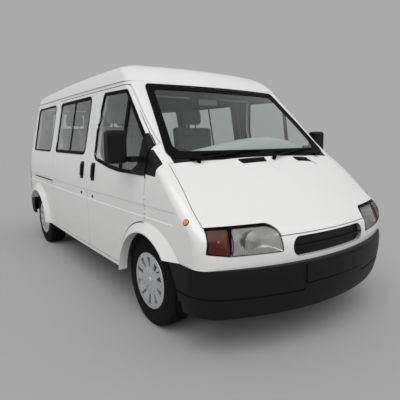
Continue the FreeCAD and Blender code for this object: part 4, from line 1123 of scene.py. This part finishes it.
class MINIBUS_OT_lamps(bpy.types.Operator):
    """Replace the lamp blocks by lenses over reflectors with bulbs"""

    bl_idname = "minibus.lamps"
    bl_label = "Lamps"

    def execute(self, context):
        front = skin("headlamps", "indicators")
        for name, side in SIDES:
            for kind, lens, deep in (("headlamps", "lamp_lens", 0.060), ("indicators", "amber_lens", 0.030)):
                outline = [Vector((q.x * -side, q.y)) for q in rounded(*LAMPS[kind])]
                middle = sum(outline, Vector((0, 0))) / len(outline)
                sheet = dish(outline, middle, front.front, lambda share: LENS_DEPTH, rings=7)
                finished(sheet, "%s_lens_%s" % (kind, name), lens, "body", replaces=[kind])
                bowl = dish(outline, middle, front.front, lambda share: BOWL_DEPTH + deep * (1 - share ** 2),
                            rings=9, thick=0.002)
                finished(bowl, "%s_reflector_%s" % (kind, name), "lamp_silver", "body", smooth=50)
                rim = strip_around(outline, 0.0035, 0.0005, -0.001, 0.0025, front.front)
                finished(rim, "%s_rim_%s" % (kind, name), "rubber_seal", "body")
                spot, normal = front.front(middle.x, middle.y)
                way = (normal + Vector((1.5, 0, 0))).normalized()  # mostly ahead
                parts = [rod(spot - way * (deep - 0.012), way, 0.011, 0.030, 0.003)]
                if kind == "headlamps":
                    for radius in (0.058, 0.050):
                        parts.append(rod(spot - way * (deep * 0.72), way, radius, 0.004, 0.0015, steps=40))
                finished(merged(parts), "%s_bulb_%s" % (kind, name), "lamp_silver", "body", smooth=40)
            spot, normal = skin("wings").side(at(0.522), 0.843, side)
            dome = rod(spot + normal * 0.004, normal, 0.017, 0.009, 0.004)
            finished(dome, "repeater_" + name, "amber_block", "body", replaces=["indicators"])
            rim = rod(spot + normal * 0.0005, normal, 0.020, 0.004, 0.0015)
            finished(rim, "repeater_rim_" + name, "rubber_seal", "body")
        return {"FINISHED"}


# Grille: the height and half the size of its rounded opening, and the heights of its slats
GRILLE_Z = 0.6675
GRILLE_HALF_WIDTH = 0.355
GRILLE_HALF_HEIGHT = 0.0625
SLATS = (0.628, 0.648, 0.668, 0.688, 0.708)
# Height at which rays meet the nose above the grille
NOSE_Z = 0.755
# Section of a ridge on the bonnet, and both ridges from rear to front
RIDGE = ((-1, 0), (-0.5, 0.45), (0, 1), (0.5, 0.45), (1, 0), (0, -0.1))
RIDGES = (((0.250, -0.012), (0.432, 0.026)), ((0.245, 0.472), (0.317, 0.535)))
# Way that stands up on the windscreen
SCREEN_UP = (0.5, 0, 0.86)


class MINIBUS_OT_front_trim(bpy.types.Operator):
    """Add the grille slats, bonnet ridges, vents, jets and wipers"""

    bl_idname = "minibus.front_trim"
    bl_label = "Grille, bonnet trim and wipers"

    def execute(self, context):
        nose = skin("front_panel", "bonnet")
        parts = []
        for z in SLATS:
            share = abs(z - GRILLE_Z) / GRILLE_HALF_HEIGHT
            reach = GRILLE_HALF_WIDTH - 0.062 * (1 - math.cos(math.asin(min(1.0, share))))
            path = []
            for k in range(17):
                y = reach * (k / 8 - 1) * 0.97
                path.append((nose.front(y, NOSE_Z)[0].x - 0.030, y, z))
            parts.append(sweep(path, section(0.014, 0.004), [(0, 0, 1)] * 17))
        for k in range(-6, 7):
            y = 0.05 * k
            x = nose.front(y, NOSE_Z)[0].x - 0.040
            parts.append(block((x, y, 0.668), (0.012, 0.004, 0.100), 0.001, segments=1))
        finished(merged(parts), "grille_slats", "black_plastic", "body", smooth=30)

        lid = skin("bonnet")
        ridges = []
        for start, end in RIDGES:
            path = [lid.top(at(q.x), q.y) for q in samples([start, end], 0.02)]
            across = Vector((end[1] - start[1], start[0] - end[0], 0)).normalized()
            rings = []
            for i, (spot, normal) in enumerate(path):
                fade = 1.0 - (i / (len(path) - 1)) ** 2
                wide, tall = 0.024 * (0.35 + 0.65 * fade), 0.013 * fade
                rings.append([spot + across * (wide * u) + normal * (tall * v - 0.0012) for u, v in RIDGE])
            ridges.append(lofted(rings))
        finished(merged(ridges), "bonnet_ridges", "body_paint", "bonnet", smooth=60)

        vents = []
        for y0, y1 in ((-0.30, -0.01), (0.29, 0.52)):
            outline = rounded(along_x([(0.2445, y0), (0.286, y0 + 0.03), (0.286, y1 - 0.03), (0.2445, y1)]), 0.008)
            vents.append(plate_on(outline, lid.top, -0.002, 0.0045))
            for k in range(int((y1 - y0 - 0.05) / 0.016)):
                y = y0 + 0.03 + 0.016 * k
                vents.append(bar_on(along_x([(0.250, y), (0.282, y)]), lid.top, 0.005, 0.005, 0.004))
        finished(merged(vents), "bonnet_vents", "black_plastic", "bonnet", smooth=30)

        pane = skin("black_trim", "windscreen_frame", "fixed_glass", "bonnet", "front_panel")
        parts = []
        for pivot_y, tip_y in ((-0.62, -0.02), (0.06, 0.66)):
            pivot = pane.front(pivot_y, 1.178)[0] + Vector((0.020, 0, 0.0))
            start = pane.front(pivot_y + 0.07, 1.212)[0] + Vector((0.022, 0, 0.004))
            end = pane.front(tip_y, 1.226)[0] + Vector((0.022, 0, 0.004))
            middle = start.lerp(end, 0.55)
            middle.x = pane.front(middle.y, middle.z)[0].x + 0.026
            parts.append(rod(pivot, (0.45, 0, 0.89), 0.016, 0.034, 0.004))
            arm = [pivot + Vector((0.004, 0.0, 0.014)), middle]
            parts.append(sweep(arm, section(0.015, 0.008), [SCREEN_UP] * 2))
            blade = []
            for k in range(13):
                q = start.lerp(end, k / 12)
                q.x = pane.front(q.y, q.z)[0].x + 0.012
                blade.append(q)
            parts.append(sweep(blade, section(0.010, 0.016), [SCREEN_UP] * 13))
            parts.append(block(middle + Vector((-0.006, 0, 0)), (0.018, 0.050, 0.018), 0.004))
        for side in (-1, 1):
            parts.append(block((at(0.206), side * 0.640, 1.187), (0.050, 0.060, 0.022), 0.007))
        finished(merged(parts), "wipers", "rubber_seal", "body", smooth=30)
        return {"FINISHED"}


def upright_handle(where, x, lock_x, lock_z):
    """Bezel, lever and lock of a side door's handle."""
    bezel = plate_on(rounded(along_x(corners(x - 0.040, 0.970, x + 0.040, 1.123)), 0.012), where, *PLATE)
    lever = bar_on(along_x([(x, 0.995), (x, 1.100)]), where, 0.034, 0.014, 0.020, 0.03)
    spot, normal = where(at(lock_x), lock_z)
    return merged([bezel, lever, rod(spot + normal * 0.002, normal, 0.013, 0.008, 0.002)])


class MINIBUS_OT_side_trim(bpy.types.Operator):
    """Add mirror faces, handle levers, locks, the slide rail cover with dark strips as painted shadow of its gap and
    slot, and the fuel flap's outline as a dark strip, painted shadow of its shut line
    """

    bl_idname = "minibus.side_trim"
    bl_label = "Mirrors, handles and side trim"

    def execute(self, context):
        for name, side in SIDES:
            glass = block((at(-0.1705), side * 1.071, 1.272), (0.006, 0.112, 0.196), 0.0025)
            finished(glass, "mirror_face_" + name, "mirror_face", "front_door_" + name, smooth=30)
            head = skin("door_fittings_" + name)
            inner, outer = side * 1.008, side * 1.134
            rim = strip_around(rounded(corners(inner, 1.166, outer, 1.376), 0.02), 0.006, 0.0005, -0.002, 0.006,
                               lambda y, z: head.cast((at(-0.6), y, z), (1, 0, 0), 0.8))
            finished(rim, "mirror_rim_" + name, "black_plastic", "front_door_" + name, smooth=30)

            where = side_laid(skin("front_door_" + name, "front_door_glass_" + name), side)
            handle = upright_handle(where, -0.885, -0.90, 0.831)
            finished(handle, "door_handle_" + name, "black_plastic", "front_door_" + name, smooth=30)
            spot, normal = where(at(-0.90), 0.831)
            key = rod(spot + normal * 0.0035, normal, 0.006, 0.008, 0.001)
            finished(key, "door_lock_" + name, "steel_bolt", "front_door_" + name, smooth=30)

        where = side_laid(skin("side_panel_right", "sliding_door", "fixed_glass"), -1)
        handle = upright_handle(where, -1.153, -1.18, 0.836)
        finished(handle, "slider_handle", "black_plastic", "body", smooth=30)

        cover = rounded(along_x(corners(-3.02, 0.838, -2.15, 0.893)), 0.02)
        finished(plate_on(cover, where, -0.001, 0.007), "slide_rail_cover", "body_paint", "body", smooth=30)
        # Painted shade: a dark strip around the rail cover and a dark strip along it stand in for the shadow in the
        # cover's gap and in the rail's slot
        finished(strip_around(cover, 0.002, 0.006, -0.001, 0.005, where), "slide_rail_gap", "rubber_seal", "body")
        slot = plate_on(rounded(along_x(corners(-3.00, 0.856, -2.16, 0.870)), 0.003), where, 0.0055, 0.0012)
        finished(slot, "slide_rail_slot", "rubber_seal", "body")

        wall = skin("side_panel_left", "sliding_door", "fixed_glass")
        flap = rounded(along_x(corners(-3.05, 0.92, -2.87, 1.09)), 0.025)
        # Painted shade: a dark outline on the skin stands in for the shadow in the fuel flap's shut line
        parts = [strip_around(flap, 0.0015, 0.0015, -0.001, 0.0016, side_laid(wall, 1))]
        spot, normal = wall.side(at(-2.90), 1.005, 1)
        parts.append(rod(spot + normal * 0.002, normal, 0.010, 0.006, 0.0015))
        finished(merged(parts), "fuel_flap_gap", "rubber_seal", "body", smooth=30)
        return {"FINISHED"}


class MINIBUS_OT_tail_trim(bpy.types.Operator):
    """Add dark bars in the rear door gaps as painted shadow of the shut lines, the handle, hinges, blank plate and
    lamp gaskets
    """

    bl_idname = "minibus.tail_trim"
    bl_label = "Rear trim"

    def execute(self, context):
        back = skin("rear_door_right", "rear_door_left", "rear_door_glass_right", "rear_door_glass_left",
                    "roof_panel", "side_panel_right", "side_panel_left", "bumpers")

        def gap(y, z):
            return over_gap(back.tail, 0, y, z)

        # Painted shade: dark bars in the rear door gaps stand in for the shadow that falls there
        lines = [bar_on([(y, 0.60), (y, 1.70)], gap, wide, *GAP_SHADE_BAR[1:])
                 for y, wide in ((-0.671, 0.005), (0.671, 0.005), (0.0, 0.008))]
        finished(merged(lines), "rear_door_gaps", "rubber_seal", "body")

        right = skin("rear_door_right", "rear_door_glass_right")
        parts = [plate_on(rounded(corners(-0.150, 0.985, -0.035, 1.055), 0.012), right.tail, *PLATE),
                 bar_on([(-0.135, 1.020), (-0.060, 1.020)], right.tail, 0.030, 0.014, 0.020, 0.03)]
        finished(merged(parts), "rear_handle", "black_plastic", "rear_door_right", smooth=30)
        left = skin("rear_door_left", "rear_door_glass_left")
        plate = plate_on(rounded(corners(0.080, 0.700, 0.600, 0.812), 0.010), left.tail, 0.001, 0.003)
        finished(plate, "blank_plate", "plate_blank", "rear_door_left", smooth=30)
        spot, normal = left.tail(0.34, 0.845)
        lamp = block(spot + normal * 0.012, (0.030, 0.140, 0.034), 0.006)
        finished(lamp, "plate_lamp", "black_plastic", "rear_door_left", smooth=30)

        for name, side in SIDES:
            outline = rounded(corners(side * 0.700, 0.655, side * 0.860, 0.965), 0.012)
            rim = strip_around(outline, 0.007, 0.0005, *PLATE, skin("tail_lamps").tail)
            finished(rim, "tail_lamp_rim_" + name, "rubber_seal", "body", smooth=30)
            parts = []
            for z in (0.80, 1.55):
                spot, normal = skin("rear_door_" + name, "rear_door_glass_" + name).tail(side * 0.650, z)
                parts.append(block(spot + normal * 0.010, (0.026, 0.034, 0.090), 0.006))
                parts.append(rod(spot + normal * 0.014, (0, 0, 1), 0.009, 0.100, 0.002))
            finished(merged(parts), "rear_hinges_" + name, "body_paint", "rear_door_" + name, smooth=30)
        return {"FINISHED"}


class MINIBUS_OT_seats(bpy.types.Operator):
    """Replace the seat blocks by padded cushions, backs and headrests on their stands"""

    bl_idname = "minibus.seats"
    bl_label = "Seats"

    def execute(self, context):
        settings = context.scene.minibus_seats
        frames = []
        for row, (front, base, y0, y1, places) in enumerate(SEATS):
            width = (y1 - y0) / len(places)
            joins = [(1, y0 + width * k) for k in range(1, len(places))]
            panels = [(1, y0 + width * k + off) for k in range(len(places)) for off in (0.075, width - 0.075)]
            left, right = y0 + 0.004, y1 - 0.004
            cushion = pad((at(front - 0.468), left, base + 0.002), (at(front) - 0.004, right, base + 0.118), 0.045,
                          settings.crown, 2, joins + panels + [(0, at(front - 0.12))], settings.seam)
            back = pad((at(front - 0.484), left, base + 0.075), (at(front - 0.372), right, base + 0.645), 0.042,
                       settings.crown * 0.6, 0, joins + panels + [(2, base + 0.30), (2, base + 0.55)],
                       settings.seam, lean=0.090)
            pads = [(cushion, "cushion_%d" % row, 0.7), (back, "seat_back_%d" % row, 0.7)]
            for k, place in enumerate(places):
                rest = pad((at(front - 0.562), place - 0.118, base + 0.672),
                           (at(front - 0.474), place + 0.118, base + 0.850), 0.042, 0.004, 0, [(2, base + 0.72)],
                           settings.seam * 0.5, dome=0.45, pinch=0.004)
                pads.append((rest, "headrest_%d_%d" % (row, k), 0.85))
                for y in (place - 0.05, place + 0.05):
                    frames.append(rod((at(front - 0.515), y, base + 0.66), (0, 0, 1), 0.006, 0.075))
                    frames.append(rod((at(front - 0.512), y, base + 0.636), (0, 0, 1), 0.014, 0.012, 0.003))
            for mesh, name, fill in pads:
                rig.padded(finished(mesh, name, "seat_cloth", "body", 50, ["seats"]), fill=fill)

            # Legs and cross bars, then feet and side rails, then the skirt and the hinge
            middle = (y0 + y1) / 2
            sides = (y0 + 0.075, y1 - 0.075)
            for x in (front - 0.425, front - 0.075):
                for y in sides:
                    frames.append(block((at(x), y, (FLOOR_TOP + base) / 2), (0.035, 0.030, base - FLOOR_TOP - 0.004),
                                        0.006))
                frames.append(block((at(x), middle, base - 0.018), (0.030, y1 - y0 - 0.12, 0.024), 0.006))
            for y in sides:
                frames.append(block((at(front - 0.25), y, FLOOR_TOP + 0.014), (0.430, 0.045, 0.022), 0.005))
                frames.append(block((at(front - 0.25), y, base - 0.016), (0.400, 0.035, 0.026), 0.006))
            frames.append(block((at(front - 0.20), middle, base - 0.10), (0.26, y1 - y0 - 0.20, 0.14), 0.012))
            frames.append(block((at(front - 0.44), y0 + 0.030, base + 0.06), (0.09, 0.030, 0.09), 0.010))
        finished(merged(frames), "seat_frames", "chassis_paint", "body", 40, ["seats"])
        return {"FINISHED"}


# Crest of the dashboard's hood, (y, z), and its section as (X from the axle, foot, share of the rise)
CREST = [(-0.78, 1.160), (-0.60, 1.200), (-0.45, 1.235), (-0.27, 1.266), (-0.17, 1.286), (0.0, 1.312),
         (0.16, 1.328), (0.33, 1.336), (0.53, 1.310), (0.68, 1.262), (0.78, 1.190)]
HOOD_FOOT = 1.120
HOOD = ((0.040, HOOD_FOOT, 0.0), (0.034, HOOD_FOOT, 0.45), (0.012, HOOD_FOOT, 0.80), (-0.030, HOOD_FOOT, 0.96),
        (-0.080, HOOD_FOOT, 1.0), (-0.150, HOOD_FOOT, 0.93), (-0.210, HOOD_FOOT, 0.78), (-0.235, HOOD_FOOT, 0.50),
        (-0.220, 1.110, 0.0))


class MINIBUS_OT_cabin(bpy.types.Operator):
    """Add the dashboard's hood and vents, the visors, the inner mirror and the horn pad"""

    bl_idname = "minibus.cabin"
    bl_label = "Cabin"

    def execute(self, context):
        hood = lofted([[Vector((at(x), y, foot + (z - HOOD_FOOT) * share)) for x, foot, share in HOOD]
                       for y, z in samples(CREST, 0.05)])
        finished(hood, "dash_hood", "pale_trim", "body", 50)

        parts = []
        for y in (-0.70, -0.16, 0.66):
            z = skin("dashboard").top(at(-0.10), y)[0].z
            parts.append(block((at(-0.10), y, z + 0.003), (0.050, 0.120, 0.012), 0.003))
            for k in range(5):
                parts.append(block((at(-0.118) + 0.009 * k, y, z + 0.010), (0.003, 0.108, 0.006), 0.001, segments=1))
        finished(merged(parts), "dash_trim", "grey_trim", "body", 35)

        parts = []
        tilt = Matrix.Rotation(math.radians(14), 3, "Y")
        for side in (-1, 1):
            parts.append(block((at(-0.565), side * 0.36, 1.690), (0.150, 0.330, 0.016), 0.006, tilt))
            parts.append(rod((at(-0.520), side * 0.51, 1.702), (0, 1, 0), 0.005, 0.06))
        parts.append(block((at(-0.500), 0.0, 1.645), (0.016, 0.200, 0.055), 0.007))
        parts.append(rod((at(-0.515), 0.0, 1.680), (-0.3, 0, 1), 0.007, 0.065))
        finished(merged(parts), "visors_and_mirror", "roof_lining", "body", 35)
        boss = rod(STEERING_WHEEL + Vector((-0.024, 0, 0.018)), (-0.8, 0, 0.6), 0.062, 0.030, 0.008, steps=32)
        finished(boss, "horn_pad", "grey_trim", "steering_wheel", 35)
        return {"FINISHED"}


class MINIBUS_OT_wheel_trim(bpy.types.Operator):
    """Add the raised hub, wheel bolts and valve to each wheel"""

    bl_idname = "minibus.wheel_trim"
    bl_label = "Wheel trim"

    def execute(self, context):
        for end, x in AXLES:
            for name, side in SIDES:
                place = "%s_%s" % (end, name)
                rim = skin("rim_" + place)
                way = Vector((0, side, 0))

                def fixed(dx, dz, out, *sizes, **more):
                    spot = rim.side(at(x) + dx, WHEEL_RADIUS + dz, side)[0]
                    return rod(spot + way * out, way, *sizes, **more)

                parts = [fixed(0, 0, 0.001, 0.036, 0.008, 0.003, steps=40, tip=0.031)]
                for k in range(5):
                    turn = math.radians(72 * k + 18)
                    parts.append(fixed(math.cos(turn) * 0.052, math.sin(turn) * 0.052, 0.003, 0.008, 0.010, 0.0015,
                                       steps=6))
                finished(merged(parts), "hub_trim_" + place, "wheel_silver", "wheel_" + place, 30)
                valve = fixed(0.137, 0.1, 0.006, 0.004, 0.018, 0.001, steps=12)
                finished(valve, "valve_" + place, "rubber_seal", "wheel_" + place, 30)
        return {"FINISHED"}


# Camera fitted to the photograph: picture size, focal length and centre in pixels, angles in degrees, and place
PICTURE = 400.0
FOCAL = 386.4629
CENTRE = (200.2287, 188.7209)
YAW, PITCH, ROLL = 35.88730, 7.47996, -0.33997
EYE = (at(2.351548), -2.151576, 1.328607)
SENSOR = 36.0
# Strength of the plain backdrop, so that the floor runs into it without an edge
BACKDROP = 0.962


def add_sun(name, strength, angle, way):
    """Sun lamp of an apparent size in degrees that shines along a way."""
    lamp = bpy.data.lights.new(name, "SUN")
    lamp.energy = strength
    lamp.angle = math.radians(angle)
    holder = bpy.data.objects.new(name, lamp)
    holder.rotation_euler = (-Vector(way)).to_track_quat("Z", "Y").to_euler()
    bpy.context.scene.collection.objects.link(holder)


class MINIBUS_OT_stage(bpy.types.Operator):
    """Add the plain floor, the soft studio light and the camera"""

    bl_idname = "minibus.stage"
    bl_label = "Stage"

    def execute(self, context):
        settings = context.scene.minibus_stage
        mesh = bmesh.new()
        bmesh.ops.create_grid(mesh, x_segments=2, y_segments=2, size=120.0)
        floor = placed(mesh, "floor")
        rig.stage(floor)
        tree, principled, coords = shader("floor_sheet")
        shade = calc(tree, "MULTIPLY_ADD", noise(tree, coords["Object"], 0.6, 2.0), 0.02, 0.99)
        plug(tree, principled, Base_Color=scaled(tree, settings.floor, shade), Roughness=0.9,
             Specular_IOR_Level=0.0)
        floor.data.materials.append(MADE["floor_sheet"])

        world = bpy.data.worlds.new("even_light")
        world.use_nodes = True
        context.scene.world = world
        tree = world.node_tree
        sky = plug(tree, tree.nodes["Background"], Color=(1, 1, 1, 1), Strength=settings.light)
        seen = node(tree, "ShaderNodeBackground", Color=(*settings.floor, 1), Strength=BACKDROP)
        blended(tree, ("Is Camera Ray", "Is Transmission Ray"), sky, seen, "World Output")
        add_sun("key_light", settings.key, 55.0, (-0.55, 0.55, -1.0))
        add_sun("fill_light", settings.key * 0.22, 60.0, (-0.8, -0.7, -0.5))

        lens = bpy.data.cameras.new("camera")
        lens.sensor_width = SENSOR
        lens.lens = FOCAL * SENSOR / PICTURE
        lens.shift_x = (PICTURE / 2 - CENTRE[0]) / PICTURE
        lens.shift_y = (CENTRE[1] - PICTURE / 2) / PICTURE
        lens.clip_end = 500.0
        yaw, pitch, roll = [math.radians(angle) for angle in (YAW, PITCH, ROLL)]
        ahead = Vector((-math.cos(yaw) * math.cos(pitch), math.sin(yaw) * math.cos(pitch), -math.sin(pitch)))
        right = ahead.cross(Vector((0, 0, 1))).normalized()
        up = right.cross(ahead)
        rows = (right * math.cos(roll) + up * math.sin(roll), up * math.cos(roll) - right * math.sin(roll), -ahead)
        camera = bpy.data.objects.new("camera", lens)
        camera.matrix_world = Matrix.Translation(EYE) @ Matrix(rows).transposed().to_4x4()
        context.scene.collection.objects.link(camera)
        context.scene.camera = camera
        context.scene.view_settings.view_transform = "Standard"
        return {"FINISHED"}


class MINIBUS_PT_panel(bpy.types.Panel):
    """Sizes, colours and pieces of the minibus"""

    bl_idname = "MINIBUS_PT_panel"
    bl_label = "Minibus"
    bl_space_type = "VIEW_3D"
    bl_region_type = "UI"
    bl_category = "Minibus"

    def draw(self, context):
        for name in GROUPS:
            box = self.layout.box()
            settings = getattr(context.scene, name)
            for key in settings.__annotations__:
                box.prop(settings, key)
        for piece in PIECES:
            self.layout.operator(piece.bl_idname)


GROUPS = {
    "minibus_paint": MinibusPaint,
    "minibus_tyres": MinibusTyres,
    "minibus_seats": MinibusSeats,
    "minibus_seals": MinibusSeals,
    "minibus_stage": MinibusStage,
}
PIECES = (
    MINIBUS_OT_finishes,
    MINIBUS_OT_tyres,
    MINIBUS_OT_seals,
    MINIBUS_OT_lines,
    MINIBUS_OT_lamps,
    MINIBUS_OT_front_trim,
    MINIBUS_OT_side_trim,
    MINIBUS_OT_tail_trim,
    MINIBUS_OT_seats,
    MINIBUS_OT_cabin,
    MINIBUS_OT_wheel_trim,
    MINIBUS_OT_stage,
)


def register():
    """Make the add-on's settings, operators and panel known to Blender."""
    for kind in (*GROUPS.values(), *PIECES, MINIBUS_PT_panel):
        bpy.utils.register_class(kind)
    for name, kind in GROUPS.items():
        setattr(bpy.types.Scene, name, bpy.props.PointerProperty(type=kind))


def unregister():
    """Take them away again."""
    for name in GROUPS:
        delattr(bpy.types.Scene, name)
    for kind in reversed((*GROUPS.values(), *PIECES, MINIBUS_PT_panel)):
        bpy.utils.unregister_class(kind)


def main():
    """Dress the vehicle and note the boxes of the solids and of what is seen."""
    register()
    for piece in PIECES:
        area, name = piece.bl_idname.split(".")
        getattr(getattr(bpy.ops, area), name)()
    sizes = {"cad": [list(corner) for corner in CAD_BOX], "visual": [list(corner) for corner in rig.bounds()]}
    with open("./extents.json", "w") as out:
        json.dump(sizes, out)


if __name__ == "__main__":
    main()
